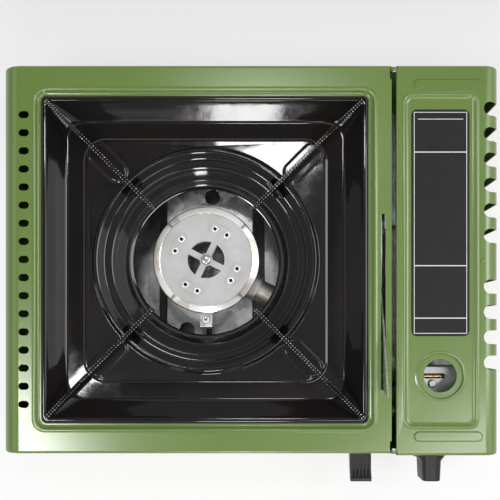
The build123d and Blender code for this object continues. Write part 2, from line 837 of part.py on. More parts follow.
# ---------------------------------------------------------------- gas control
regulator_right = knob_x + regulator_width / 2
regulator_low = knob_z - regulator_height / 2
regulator_high = knob_z + regulator_height / 2
receiver_radius = 13.0
receiver_length = 9.0
outlet_radius = 4.6
outlet_length = 9.0
outlet_reach = (regulator_left + 4 - burner_x) / cos(radians(tube_angle))
outlet_root = Vector(burner_x, burner_y, tube_z) + tube_dir * outlet_reach
outlet_face = outlet_root - tube_dir * outlet_length

with BuildPart() as regulator_body:
    plate_xy(
        regulator_left, regulator_right, regulator_front, regulator_rear,
        regulator_low, regulator_height,
    )
    fillet(regulator_body.edges().filter_by(Axis.Y), radius=4)
    fillet(regulator_body.edges().filter_by(Axis.X), radius=1.5)
    # collar that fills the way to the front wall
    with BuildSketch(facing_y(knob_x, front_y + sheet, knob_z)):
        Circle(9)
    extrude(amount=-(regulator_setback - sheet + 2))
    with BuildSketch(facing_y(knob_x, front_y + sheet, knob_z)):
        Circle(spindle_radius + pin_clearance)
    extrude(amount=-(regulator_setback + 10), mode=Mode.SUBTRACT)
    # receiver that the cassette's valve enters
    with BuildSketch(facing_y(cassette_x, regulator_rear, knob_z)):
        Circle(receiver_radius)
    extrude(amount=-receiver_length)
    with BuildSketch(facing_y(cassette_x, regulator_rear + receiver_length, knob_z)):
        Circle(receiver_radius - 3)
    extrude(amount=6, mode=Mode.SUBTRACT)
    with BuildSketch(facing_y(cassette_x, regulator_rear + 3, knob_z)):
        Circle(3)
    extrude(amount=8, mode=Mode.SUBTRACT)
    # outlet boss in line with the mixing tube
    with BuildSketch(Plane(origin=outlet_root, z_dir=-tube_dir)):
        Circle(outlet_radius)
    extrude(amount=outlet_length)
    with BuildSketch(Plane(origin=outlet_root, z_dir=-tube_dir)):
        Circle(nozzle_radius - 1)
    extrude(amount=outlet_length, mode=Mode.SUBTRACT)
save(regulator_body.part, "regulator_body")

with BuildPart() as regulator_cap:
    # diaphragm housing on top of the body
    with BuildSketch(Plane.XY.offset(regulator_high)):
        with Locations((knob_x - 1, regulator_front + 20)):
            Circle(diaphragm_radius)
    extrude(amount=3.4)
    fillet(regulator_cap.edges().group_by(Axis.Z)[-1], radius=1.2)
    with BuildSketch(Plane.XY.offset(regulator_high + 3.4)):
        with Locations((knob_x - 1, regulator_front + 20)):
            Circle(diaphragm_radius - 6)
    extrude(amount=-1.2, mode=Mode.SUBTRACT)
save(regulator_cap.part, "regulator_cap")

with BuildPart() as gas_nozzle:
    # hexagon against the boss, then the jet that points up the tube
    with BuildSketch(Plane(origin=outlet_face, z_dir=-tube_dir)):
        RegularPolygon(outlet_radius, 6)
    extrude(amount=2.4)
    with BuildSketch(Plane(origin=outlet_face - tube_dir * 2.4, z_dir=-tube_dir)):
        Circle(nozzle_radius)
    extrude(amount=4.5, taper=12)
    with BuildSketch(Plane(origin=outlet_face, z_dir=-tube_dir)):
        Circle(0.5)
    extrude(amount=8, mode=Mode.SUBTRACT)
save(gas_nozzle.part, "gas_nozzle")

with BuildPart() as receiver_seal:
    with BuildSketch(facing_y(cassette_x, regulator_rear + 3, knob_z)):
        Circle(receiver_radius - 3 - seat_clearance)
        Circle(receiver_radius - 6, mode=Mode.SUBTRACT)
    extrude(amount=-2.4)
save(receiver_seal.part, "receiver_seal")

# bracket over the regulator, flanged to the front wall, with the shut-off pin on it
bracket_low = regulator_high + 3.4
bracket_left = knob_x - 12.0
bracket_right = knob_x + 20.0
bracket_rear = regulator_rear - 1.0
bracket_flange = 12.0
plunger_radius = 1.7
plunger_y = regulator_rear - 7.5

with BuildPart() as regulator_bracket:
    plate_xy(bracket_left, bracket_right, front_y + sheet, bracket_rear, bracket_low, gauge)
    plate_xy(
        bracket_left, bracket_right, front_y + sheet, front_y + sheet + gauge,
        bracket_low, bracket_flange,
    )
    # turned-down ear at the free edge
    plate_xy(bracket_right - gauge, bracket_right, regulator_front + 20, bracket_rear, bracket_low - 8, 8)
save(regulator_bracket.part, "regulator_bracket")

bracket_screws = [(knob_x - 1.0, regulator_rear - 13.0), (knob_x + 8.0, regulator_front + 8.0)]
with BuildPart() as regulator_screws:
    with BuildSketch(Plane.XY.offset(bracket_low + gauge)):
        with Locations(*bracket_screws):
            Circle(3.0)
    extrude(amount=1.8)
    fillet(regulator_screws.edges().group_by(Axis.Z)[-1], radius=0.9)
    with BuildSketch(Plane.XY.offset(bracket_low + gauge + 1.8)):
        with Locations(*bracket_screws):
            Rectangle(3.0, 0.7)
            Rectangle(0.7, 3.0)
    extrude(amount=-0.8, mode=Mode.SUBTRACT)
save(regulator_screws.part, "regulator_screws")

plunger_z = bracket_low + gauge + plunger_radius
with BuildPart() as shutoff_plunger:
    rod((knob_x - 6.5, plunger_y, plunger_z), (knob_x + 4.5, plunger_y, plunger_z), plunger_radius)
    rod((knob_x - 8.0, plunger_y, plunger_z), (knob_x - 6.5, plunger_y, plunger_z), plunger_radius - 0.5)
save(shutoff_plunger.part, "shutoff_plunger")

with BuildPart() as plunger_seal:
    rod((knob_x + 4.6, plunger_y, plunger_z), (knob_x + 7.4, plunger_y, plunger_z), plunger_radius - 0.1)
save(plunger_seal.part, "plunger_seal")

# ---------------------------------------------------------------- knob, spindle, dial
spindle_inner = front_y + sheet + regulator_setback + 6
knob_back = front_y - dial_thickness - run_gap
knob_front = front_y - handle_reach + 0.8
skirt_length = 5.0
spindle_outer = knob_back - 11.0

with BuildPart() as valve_spindle:
    rod((knob_x, spindle_inner, knob_z), (knob_x, spindle_outer, knob_z), spindle_radius)
    # flat that turns the knob
    plate_xy(
        knob_x - spindle_radius, knob_x + spindle_radius, spindle_outer, knob_back,
        knob_z + spindle_radius - 0.8, 2, mode=Mode.SUBTRACT,
    )
save(valve_spindle.part, "valve_spindle")

with BuildPart() as dial_plate:
    with BuildSketch(facing_y(knob_x, front_y, knob_z)):
        Circle(dial_radius)
        Circle(spindle_hole, mode=Mode.SUBTRACT)
    extrude(amount=dial_thickness)
    chamfer(dial_plate.edges().filter_by(GeomType.CIRCLE).sort_by(SortBy.RADIUS)[-2:].sort_by(Axis.Y)[0], length=0.6)
save(dial_plate.part, "dial_plate")

with BuildPart() as knob:
    with BuildSketch(facing_y(knob_x, knob_back, knob_z)):
        Circle(knob_skirt_radius)
    extrude(amount=skirt_length, taper=8)
    # bar grip, flared where it meets the skirt
    with BuildSketch(facing_y(knob_x, knob_back - 3.5, knob_z)) as grip_root:
        RectangleRounded(knob_bar_width, knob_bar_height, 5)
    with BuildSketch(facing_y(knob_x, knob_front, knob_z)) as grip_end:
        RectangleRounded(knob_bar_width - 1.6, knob_bar_height - 2.4, 4.4)
    loft([grip_root.sketch, grip_end.sketch])
    with BuildSketch(facing_y(knob_x, knob_back - 3.5, knob_z)) as flare_root:
        RectangleRounded(knob_bar_width + 7, knob_bar_height - 2, 6)
    with BuildSketch(facing_y(knob_x, knob_back - skirt_length - 3.5, knob_z)) as flare_end:
        RectangleRounded(knob_bar_width - 1, knob_bar_height - 4, 4.2)
    loft([flare_root.sketch, flare_end.sketch])
    fillet(knob.edges().group_by(Axis.Y)[0], radius=1.6)
    # pointer groove on the end of the bar
    with BuildSketch(facing_y(knob_x, knob_front, knob_z + knob_bar_height / 2 - 6)):
        Rectangle(1.4, 9)
    extrude(amount=-0.6, mode=Mode.SUBTRACT)
    # bore for the flatted spindle
    with BuildSketch(facing_y(knob_x, knob_back, knob_z)):
        Circle(spindle_radius + pin_clearance)
    extrude(amount=knob_back - spindle_outer + 0.5, mode=Mode.SUBTRACT)
save(knob.part, "knob")

# ---------------------------------------------------------------- lock lever and its crank
lever_tip_y = front_y - handle_reach
lever_hub = 7.5
ear_gap = 0.6
lever_left = lever_x - lever_width / 2
lever_right = lever_x + lever_width / 2
lever_frame_width = lever_slot_width + 3.0
side_plane_x = Plane(origin=(lever_left, 0, 0), x_dir=(0, 1, 0), z_dir=(1, 0, 0))
pad_z = lever_shaft_z + 14.0

with BuildPart() as lock_lever:
    with BuildSketch(side_plane_x):
        with Locations((lever_shaft_y, lever_shaft_z)):
            Circle(lever_hub)
        with BuildLine():
            Polyline(
                (lever_shaft_y + 2, lever_shaft_z - 7),
                (lever_shaft_y + 1, lever_shaft_z + 7),
                (front_y + 4, lever_shaft_z + 12.2),
                (front_y - 4, lever_shaft_z + 13.0),
                (lever_tip_y + 9, pad_z - 1.4),
                (lever_tip_y + 2.2, pad_z + 2.2),
                (lever_tip_y, pad_z + 1.2),
                (lever_tip_y + 1.0, pad_z - 4.6),
                (lever_tip_y + 10, pad_z - 9.0),
                (front_y - 4, lever_shaft_z + 2.0),
                (front_y + 4, lever_shaft_z),
                close=True,
            )
        make_face()
    extrude(amount=lever_width)
    long_edges = lock_lever.edges().filter_by(Axis.X).sort_by(Axis.Y)[0:3]
    fillet(long_edges, radius=0.9)
    # grip grooves along the thumb pad
    for groove in range(5):
        groove_x = lever_x + (groove - 2) * 2.6
        with BuildSketch(Plane(origin=(groove_x - 0.55, 0, 0), x_dir=(0, 1, 0), z_dir=(1, 0, 0))):
            with BuildLine():
                Polyline(
                    (lever_tip_y + 3.0, pad_z + 3),
                    (lever_tip_y + 3.0, pad_z + 1.2),
                    (lever_tip_y + 9, pad_z - 2.1),
                    (front_y - 6, lever_shaft_z + 12.2),
                    (front_y - 6, pad_z + 3),
                    close=True,
                )
            make_face()
        extrude(amount=1.1, mode=Mode.SUBTRACT)
    with BuildSketch(side_plane_x):
        with Locations((lever_shaft_y, lever_shaft_z)):
            Circle(lever_shaft_radius + press_clearance)
    extrude(amount=lever_width, mode=Mode.SUBTRACT)
save(lock_lever.part, "lock_lever")

crank_x = divider_right + 5.0
crank_thickness = 1.5
crank_pin_radius = 1.5
crank_pin_length = 4.6
crank_lean = radians(lever_travel / 2)
crank_pin_y = lever_shaft_y + crank_radius * sin(crank_lean)
crank_pin_z = lever_shaft_z + crank_radius * cos(crank_lean)
shaft_left = lever_left - ear_gap - gauge - 2.0

with BuildPart() as lever_shaft:
    rod((shaft_left, lever_shaft_y, lever_shaft_z), (crank_x + crank_thickness + 1.2, lever_shaft_y, lever_shaft_z), lever_shaft_radius)
save(lever_shaft.part, "lever_shaft")

with BuildPart() as lever_crank:
    with BuildSketch(Plane(origin=(crank_x, 0, 0), x_dir=(0, 1, 0), z_dir=(1, 0, 0))):
        with BuildLine():
            crank_line = Line((lever_shaft_y, lever_shaft_z), (crank_pin_y, crank_pin_z))
        with Locations(Location(crank_line @ 0.5, (0, 0, degrees(atan2(cos(crank_lean), sin(crank_lean)))))):
            SlotCenterToCenter(crank_radius, 11)
        with Locations((lever_shaft_y, lever_shaft_z)):
            Circle(lever_shaft_radius + press_clearance, mode=Mode.SUBTRACT)
    extrude(amount=crank_thickness)
    rod(
        (crank_x + crank_thickness, crank_pin_y, crank_pin_z),
        (crank_x + crank_thickness + crank_pin_length, crank_pin_y, crank_pin_z),
        crank_pin_radius,
    )
save(lever_crank.part, "lever_crank")

# bracket on the base plate that carries the shaft beside the lever
with BuildPart() as lever_bracket:
    bracket_y0 = lever_shaft_y - 7
    bracket_y1 = lever_shaft_y + 9
    plate_xy(
        lever_left - ear_gap - gauge, lever_right + ear_gap + gauge,
        bracket_y0, bracket_y1, floor_z, gauge,
    )
    for ear_x in (lever_left - ear_gap - gauge, lever_right + ear_gap):
        with BuildSketch(Plane(origin=(ear_x, 0, 0), x_dir=(0, 1, 0), z_dir=(1, 0, 0))):
            with Locations(((bracket_y0 + bracket_y1) / 2, (floor_z + lever_shaft_z) / 2)):
                Rectangle(bracket_y1 - bracket_y0, lever_shaft_z - floor_z)
            with Locations((lever_shaft_y, lever_shaft_z)):
                Circle(6)
                Circle(lever_shaft_radius + pin_clearance, mode=Mode.SUBTRACT)
        extrude(amount=gauge)
save(lever_bracket.part, "lever_bracket")

with BuildPart() as lever_frame:
    frame_middle = (lever_slot_low + lever_slot_high) / 2
    with BuildSketch(facing_y(lever_x, front_y, frame_middle)):
        RectangleRounded(lever_frame_width, lever_slot_high - lever_slot_low + 6, 2)
        Rectangle(lever_slot_width - 0.4, lever_slot_high - lever_slot_low - 0.4, mode=Mode.SUBTRACT)
    extrude(amount=1.6)
    chamfer(lever_frame.faces().sort_by(Axis.Y)[0].outer_wire().edges(), length=0.6)
save(lever_frame.part, "lever_frame")

# ---------------------------------------------------------------- cassette carriage, collar, cradle
carriage_z = floor_z + sheet + run_gap
carriage_left = cassette_x - carriage_width / 2
carriage_right = cassette_x + carriage_width / 2
carriage_front = crank_pin_y - 6.0
collar_y = regulator_rear + collar_gap
pusher_y = collar_y + gauge + cassette_length + carriage_travel + run_gap
link_x = crank_x + crank_thickness + 1.6
link_depth = 13.0

with BuildPart() as cassette_carriage:
    plate_xy(carriage_left, carriage_right, carriage_front, pusher_y, carriage_z, gauge)
    # pusher behind the cassette
    with BuildSketch(facing_y(cassette_x, pusher_y, carriage_z)):
        with Locations((0, 19)):
            RectangleRounded(carriage_width, 38, 4)
        with Locations((0, 4)):
            Rectangle(carriage_width, 8)
    extrude(amount=gauge)
    # side link up to the crank pin
    plate_xy(link_x, carriage_left, carriage_front, carriage_front + link_depth, carriage_z, gauge)
    plate_xy(
        link_x, link_x + gauge, carriage_front, carriage_front + link_depth,
        carriage_z, crank_pin_z + 6 - carriage_z,
    )
    with BuildSketch(Plane(origin=(link_x, 0, 0), x_dir=(0, 1, 0), z_dir=(1, 0, 0))):
        with Locations((crank_pin_y, crank_pin_z + 0.2)):
            SlotOverall(2 * crank_pin_radius + 3, 2 * crank_pin_radius + 2 * run_gap, rotation=90)
    extrude(amount=gauge, mode=Mode.SUBTRACT)
    # pressed rib along the strip
    with BuildSketch(Plane.XY.offset(carriage_z + gauge)):
        with Locations((cassette_x, (carriage_front + pusher_y) / 2)):
            SlotOverall(pusher_y - carriage_front - 24, 6, rotation=90)
    extrude(amount=0.5)
save(cassette_carriage.part, "cassette_carriage")

collar_left = regulator_left
collar_right = bay_right - lip_width - 1.1
with BuildPart() as cassette_collar:
    with BuildSketch(facing_y(0, collar_y, 0)):
        with BuildLine():
            Polyline(
                (collar_left, floor_z),
                (carriage_left - 1, floor_z),
                (carriage_left - 1, carriage_z + gauge + 2),
                (carriage_right + 1, carriage_z + gauge + 2),
                (carriage_right + 1, floor_z),
                (collar_right, floor_z),
                (collar_right, knob_z + 18),
                (cassette_x + 12, knob_z + 30),
                (cassette_x - 10, knob_z + 30),
                (collar_left, knob_z + 22),
                close=True,
            )
        make_face()
        with Locations((cassette_x, knob_z)):
            Circle(receiver_radius + seat_clearance, mode=Mode.SUBTRACT)
    extrude(amount=-gauge)
    # locating key over the receiver and a foot on the base plate
    plate_xy(cassette_x - 2.5, cassette_x + 2.5, collar_y + gauge, collar_y + gauge + 5, knob_z + 15, gauge)
    plate_xy(carriage_right + 1, collar_right, collar_y, collar_y + 10, floor_z, gauge)
save(cassette_collar.part, "cassette_collar")

cradle_y = collar_y + cradle_reach
cradle_width = 18.0
cradle_radius = cassette_radius + cradle_gap
cradle_lift = radians(25)
with BuildPart() as cassette_cradle:
    side_x = cradle_radius * cos(cradle_lift)
    side_z = knob_z - cradle_radius * sin(cradle_lift)
    with BuildSketch(facing_y(cassette_x, cradle_y, 0)):
        with BuildLine():
            Polyline(
                (-side_x - 5.0, floor_z + gauge),
                (-side_x - 1.4, floor_z + gauge),
                (-side_x, side_z),
            )
            ThreePointArc((-side_x, side_z), (0, knob_z - cradle_radius), (side_x, side_z))
            Polyline(
                (side_x, side_z),
                (side_x + 0.9, floor_z + sheet + gauge),
                (side_x + 3.0, floor_z + sheet + gauge),
            )
            offset(amount=gauge, side=Side.RIGHT)
        make_face()
    extrude(amount=-cradle_width)
save(cassette_cradle.part, "cassette_cradle")

# ---------------------------------------------------------------- cassette cover and hinge
cover_mid = (cover_left + right_x) / 2
flange_z = top_z - cover_flange
slot_face_x = right_x - slot_inset
first_slot_y = rear_y - rear_slot_inset
slot_steps = [step for step in range(slots_behind + 1 + slots_in_front) if step != slots_behind]
emboss_x0 = cover_left + emboss_left
emboss_x1 = right_x - emboss_right
emboss_y0 = cover_front + emboss_front
emboss_y1 = rear_y - emboss_rear
emboss_centre = ((emboss_x0 + emboss_x1) / 2, (emboss_y0 + emboss_y1) / 2)
emboss_size = (emboss_x1 - emboss_x0, emboss_y1 - emboss_y0)
emboss_z = top_z - emboss_drop
sight_y = front_y + sight_from_front
sight_x = cassette_x - sight_shift
ear_front_y = front_y + sheet + run_gap
ear_rear_y = bay_rear - sheet - run_gap - ear_thickness


def emboss(grow, z_high, z_low, mode):
    """Funnel of the pressed panel in the cover."""
    with BuildSketch(Plane.XY.offset(z_high)) as wide:
        with Locations(emboss_centre):
            RectangleRounded(emboss_size[0] + grow, emboss_size[1] + grow, emboss_corner)
    with BuildSketch(Plane.XY.offset(z_low)) as narrow:
        with Locations(emboss_centre):
            RectangleRounded(
                emboss_size[0] + grow - 2 * emboss_slope,
                emboss_size[1] + grow - 2 * emboss_slope,
                emboss_corner - 1,
            )
    loft([wide.sketch, narrow.sketch], mode=mode)


with BuildPart() as cassette_cover:
    plate_xy(cover_left, right_x, cover_front, rear_y, skirt_z, cover_skirt)
    upper = cassette_cover.faces().sort_by(Axis.Z)[-1]
    fillet(upper.edges().sort_by(Axis.X)[-1], radius=cover_roll)
    for end_face in (cassette_cover.faces().sort_by(Axis.Y)[0], cassette_cover.faces().sort_by(Axis.Y)[-1]):
        bends = end_face.edges().sort_by(Axis.Z)[1:].sort_by(Axis.X)[1:]
        fillet(bends, radius=bend_radius)
    open_side = cassette_cover.faces().sort_by(Axis.Z)[0]
    offset(amount=-sheet, openings=open_side)
    # short flanges at the hinge, the front and the rear
    plate_xy(
        cover_left, cover_left + sheet, cover_front, rear_y,
        skirt_z, cover_skirt - hinge_flange, mode=Mode.SUBTRACT,
    )
    for end_y, inward in ((cover_front, 1), (rear_y, -1)):
        with BuildSketch(facing_y(0, end_y, 0)):
            with BuildLine():
                Polyline(
                    (cover_left, skirt_z),
                    (cover_left, flange_z),
                    (right_x - 26, flange_z),
                    (right_x - 13, skirt_z + 20),
                    (right_x - 13, skirt_z),
                    close=True,
                )
            make_face()
            fillet(vertices().sort_by(Axis.X)[2:4].sort_by(Axis.Z)[-1], radius=6)
        extrude(amount=-inward * (sheet + 0.5), mode=Mode.SUBTRACT)
    # clearance round the lugs and the pin heads
    for clear_from, clear_to, clear_radius in (
        (cover_front + sheet, ear_front_y, ear_radius + run_gap),
        (ear_front_y, ear_front_y + 4, pin_head_radius + run_gap),
        (ear_rear_y - 3, ear_rear_y, pin_head_radius + run_gap),
        (ear_rear_y + ear_thickness, rear_y - sheet, ear_radius + run_gap),
    ):
        rod((hinge_x, clear_from, hinge_z), (hinge_x, clear_to, hinge_z), clear_radius, Mode.SUBTRACT)
    # ends of the hinge flange cut back over the bay walls
    for cut_from, cut_to in (
        (cover_front + sheet, ear_front_y),
        (ear_rear_y + ear_thickness, rear_y - sheet),
    ):
        plate_xy(
            cover_left, cover_left + sheet, cut_from, cut_to,
            top_z - hinge_flange, hinge_flange - sheet, mode=Mode.SUBTRACT,
        )
    # hinge ears
    for ear_y in (ear_front_y, ear_rear_y):
        with BuildSketch(facing_y(hinge_x, ear_y, hinge_z)):
            Circle(ear_radius)
            with Locations(((cover_left + sheet - hinge_x) / 2, -ear_radius / 2)):
                Rectangle(cover_left + sheet - hinge_x, ear_radius)
            Circle(hinge_pin_radius + pin_clearance, mode=Mode.SUBTRACT)
        extrude(amount=-ear_thickness)
    # pressed panel with the sight collar
    emboss(2 * sheet, top_z - sheet, emboss_z - sheet, Mode.ADD)
    emboss(0, top_z, emboss_z, Mode.SUBTRACT)
    with BuildSketch(Plane.XY.offset(emboss_z - sight_drop - sheet)):
        with Locations((sight_x, sight_y)):
            Circle(sight_collar + sheet)
    extrude(amount=sight_drop)
    with BuildSketch(Plane.XY.offset(emboss_z - sight_drop)):
        with Locations((sight_x, sight_y)):
            Circle(sight_collar)
    extrude(amount=sight_drop, mode=Mode.SUBTRACT)
    with BuildSketch(Plane.XY.offset(emboss_z - sight_drop - sheet)):
        with Locations((sight_x, sight_y)):
            Circle(sight_radius)
    extrude(amount=2 * sheet, mode=Mode.SUBTRACT)
    # stiffening ribs across both ends
    for rib_y in (rear_y - rib_inset, cover_front + rib_inset):
        with BuildSketch(Plane.XY.offset(top_z)):
            with Locations((cover_mid, rib_y)):
                SlotOverall(rib_length, rib_width)
        extrude(amount=rib_rise, taper=35)
    # cooling slots that wrap over the roll and down the side
    for step in slot_steps:
        with BuildSketch(Plane.XY.offset(top_z - cover_roll)):
            with Locations((slot_face_x + slot_inset, first_slot_y - step * slot_pitch)):
                SlotOverall(2 * slot_inset, slot_width)
        extrude(amount=cover_roll + 1, mode=Mode.SUBTRACT)
        with BuildSketch(Plane(origin=(right_x, 0, 0), x_dir=(0, 1, 0), z_dir=(1, 0, 0))):
            with Locations((first_slot_y - step * slot_pitch, top_z - slot_drop / 2)):
                SlotOverall(slot_drop + slot_width, slot_width, rotation=90)
            with Locations((first_slot_y - step * slot_pitch, top_z + 5)):
                Rectangle(slot_width, 10)
        extrude(amount=-sheet - 0.2, mode=Mode.SUBTRACT)
save(cassette_cover.part, "cassette_cover")

with BuildPart() as hinge_pins:
    for pin_from, pin_to, head_to in (
        (front_y, ear_front_y + ear_thickness + run_gap, 0.8),
        (bay_rear, ear_rear_y - run_gap, -0.8),
    ):
        rod((hinge_x, pin_from, hinge_z), (hinge_x, pin_to, hinge_z), hinge_pin_radius)
        rod((hinge_x, pin_to, hinge_z), (hinge_x, pin_to + head_to, hinge_z), pin_head_radius)
save(hinge_pins.part, "hinge_pins")

label_rear = rear_y - label_inset_y
label_front = sight_y + sight_collar + label_gap
with BuildPart() as label_plate:
    with BuildSketch(Plane.XY.offset(emboss_z)):
        with Locations((emboss_centre[0], (label_rear + label_front) / 2)):
            RectangleRounded(emboss_size[0] - 2 * label_side, label_rear - label_front, label_corner)
    extrude(amount=label_thickness)
save(label_plate.part, "label_plate")

with BuildPart() as cover_dimple:
    with BuildSketch(Plane.XY.offset(top_z)):
        with Locations((slot_face_x - 0.6, first_slot_y - slots_behind * slot_pitch)):
            Circle(1.8)
    extrude(amount=0.9)
    fillet(cover_dimple.edges().group_by(Axis.Z)[-1], radius=0.8)
save(cover_dimple.part, "cover_dimple")

# ---------------------------------------------------------------- drip tray
rest_z = seat_z + seat_clearance
rim_z = top_z + rim_rise
crest_width = tray_width - 2 * rim_lean
mouth_width = crest_width - 2 * rim_flat
gutter_outer = mouth_width - 2 * tray_slope
gutter_z = rim_z - tray_depth
platform_z = gutter_z + platform_rise
platform_width = gutter_outer - 2 * gutter_width
under = 2 * tray_skin
bowl_crest_radius = platform_width / 2 - bowl_margin
bowl_step_radius = bowl_crest_radius - bowl_bank
bowl_radius = burner_radius + bowl_gap
bowl_edge = bowl_crest_radius + 5.0
boss_radius = bowl_edge + boss_offset
step_z = gutter_z - 0.7

with BuildPart() as drip_tray:
    # rolled rim
    frustum(tray_x, tray_y, tray_width, tray_corner, rest_z, crest_width, tray_corner - 1, rim_z)
    frustum(
        tray_x, tray_y, tray_width - under, tray_corner - 1, rest_z,
        crest_width - under, tray_corner - 2, rim_z - tray_skin, mode=Mode.SUBTRACT,
    )
    # sloped wall down to the gutter
    frustum(
        tray_x, tray_y, mouth_width + under, tray_corner, rim_z - tray_skin / 2,
        gutter_outer + under, gutter_corner, gutter_z - tray_skin,
    )
    frustum(
        tray_x, tray_y, mouth_width, tray_corner, rim_z,
        gutter_outer, gutter_corner, gutter_z, mode=Mode.SUBTRACT,
    )
    # raised platform
    frustum(
        tray_x, tray_y, platform_width + 3, platform_corner + 1, gutter_z,
        platform_width, platform_corner, platform_z,
    )
    frustum(
        tray_x, tray_y, platform_width + 3 - under, platform_corner, gutter_z - tray_skin,
        platform_width - under, platform_corner - 1, platform_z - tray_skin, mode=Mode.SUBTRACT,
    )
    # obround bosses under the pan supports
    for turn in range(4):
        diagonal = radians(45 + 90 * turn)
        boss_at = (tray_x + boss_radius * cos(diagonal), tray_y + boss_radius * sin(diagonal))
        with BuildSketch(Plane.XY.offset(platform_z)):
            with Locations(boss_at):
                SlotOverall(boss_length, boss_width, rotation=45 + 90 * turn)
        extrude(amount=boss_rise, taper=30)
        with BuildSketch(Plane.XY.offset(platform_z - tray_skin)):
            with Locations(boss_at):
                SlotOverall(boss_length - under, boss_width - under, rotation=45 + 90 * turn)
        extrude(amount=boss_rise, taper=30, mode=Mode.SUBTRACT)
    # bowl round the burner
    with BuildSketch(Plane.XY.offset(gutter_z - 2 * tray_skin)):
        with Locations((tray_x, tray_y)):
            Circle(bowl_edge)
    extrude(amount=tray_depth, mode=Mode.SUBTRACT)
    with BuildSketch(facing_y(tray_x, tray_y, 0)):
        with BuildLine():
            FilletPolyline(
                (bowl_edge + 0.4, platform_z),
                (bowl_crest_radius + 3.8, platform_z),
                (bowl_crest_radius + 1, platform_z + bowl_crest),
                (bowl_crest_radius - 1, platform_z + bowl_crest),
                (bowl_step_radius + 5.6, step_z),
                (bowl_step_radius, step_z),
                (bowl_step_radius - 3, step_z - bowl_step_drop * 0.6),
                (bowl_radius + 4, platform_z - bowl_drop + 1.6),
                (bowl_radius, platform_z - bowl_drop),
                radius=1.2,
            )
            offset(amount=tray_skin, side=Side.LEFT)
        make_face()
    revolve(axis=Axis((tray_x, tray_y, 0), (0, 0, 1)))
save(drip_tray.part, "drip_tray")

# ---------------------------------------------------------------- pan supports
fin_z = top_z + fin_top
boss_z = platform_z + boss_rise
fin_end = (crest_width / 2) * 2 ** 0.5 - 3.4
fin_names = ["rear_right", "rear_left", "front_left", "front_right"]
for turn, fin_name in enumerate(fin_names):
    diagonal = radians(45 + 90 * turn)
    along = (cos(diagonal), sin(diagonal), 0)
    across = Vector(sin(diagonal), -cos(diagonal), 0)
    middle = Vector(tray_x, tray_y, 0)
    with BuildPart() as pan_support:
        with BuildSketch(Plane(origin=middle - across * (fin_thickness / 2), x_dir=along, z_dir=across)):
            with BuildLine():
                Polyline(
                    (fin_tip_radius, fin_z - fin_height + 2),
                    (fin_tip_radius, fin_z),
                    (fin_end - fin_fall, fin_z),
                    (fin_end, rim_z + 2.4),
                    (fin_end, rim_z + pin_clearance),
                    (fin_end - 4, rim_z + 0.9),
                    (fin_end - 20, boss_z + pin_clearance),
                    (bowl_edge + 2.5, boss_z + pin_clearance),
                    (bowl_crest_radius + 4, platform_z + bowl_crest + 1),
                    (bowl_step_radius + 5, platform_z + bowl_crest + 1),
                    (bowl_step_radius + 4.6, step_z + pin_clearance),
                    (bowl_step_radius + 1.0, step_z + pin_clearance),
                    (bowl_step_radius - 1, fin_z - fin_height),
                    (fin_tip_radius + 2, fin_z - fin_height),
                    close=True,
                )
            make_face()
        extrude(amount=fin_thickness)
        top_edges = pan_support.edges().group_by(Axis.Z)[-1]
        fillet(top_edges, radius=0.6)
        # cross foot that stands on the step of the bowl
        foot_at = middle + Vector(*along) * (bowl_step_radius + 2.8)
        with BuildSketch(Plane(origin=(foot_at.X, foot_at.Y, step_z + pin_clearance), x_dir=along, z_dir=(0, 0, 1))):
            Rectangle(fin_foot_thickness, fin_foot_width)
        extrude(amount=fin_z - fin_height - step_z + 2)
    save(pan_support.part, f"pan_support_{fin_name}")

# ---------------------------------------------------------------- pan guard
slot_front_y = front_y + guard_slot_front
slot_rear_y = slot_front_y + guard_slot_length
guard_pin_y = slot_rear_y - guard_pin_inset
guard_pin_z = top_z - guard_pin_drop
guard_ear = 1.0
guard_play = 0.5
guard_tip = (slot_front_y - guard_lean, top_z + guard_rise)
eye_radius = 4.0
guard_ear_x = guard_thickness / 2 + guard_play

with BuildPart() as guard_arm:
    with BuildSketch(Plane(origin=(guard_x - guard_thickness / 2, 0, 0), x_dir=(0, 1, 0), z_dir=(1, 0, 0))):
        with BuildLine():
            Polyline(
                guard_tip,
                (guard_pin_y - 48, guard_pin_z + 2.0),
                (guard_pin_y, guard_pin_z + eye_radius),
                (guard_pin_y, guard_pin_z - eye_radius),
                (guard_pin_y - 60, guard_pin_z - eye_radius),
                (slot_front_y + 22, guard_pin_z + 1.0),
                (slot_front_y + 1.4, top_z - 5),
                (slot_front_y + 0.5, top_z),
                close=True,
            )
        make_face()
        with Locations((guard_pin_y, guard_pin_z)):
            Circle(eye_radius)
            Circle(guard_pin_radius + pin_clearance, mode=Mode.SUBTRACT)
    extrude(amount=guard_thickness)
save(guard_arm.part, "guard_arm")

with BuildPart() as guard_pin:
    rod(
        (guard_x - guard_ear_x - guard_ear - 0.3, guard_pin_y, guard_pin_z),
        (guard_x + guard_ear_x + guard_ear + 0.3, guard_pin_y, guard_pin_z),
        guard_pin_radius,
    )
    for side in (-1, 1):
        rod(
            (guard_x + side * (guard_ear_x + guard_ear + 0.3), guard_pin_y, guard_pin_z),
            (guard_x + side * (guard_ear_x + guard_ear + 0.9), guard_pin_y, guard_pin_z),
            guard_pin_radius + 0.9,
        )
save(guard_pin.part, "guard_pin")

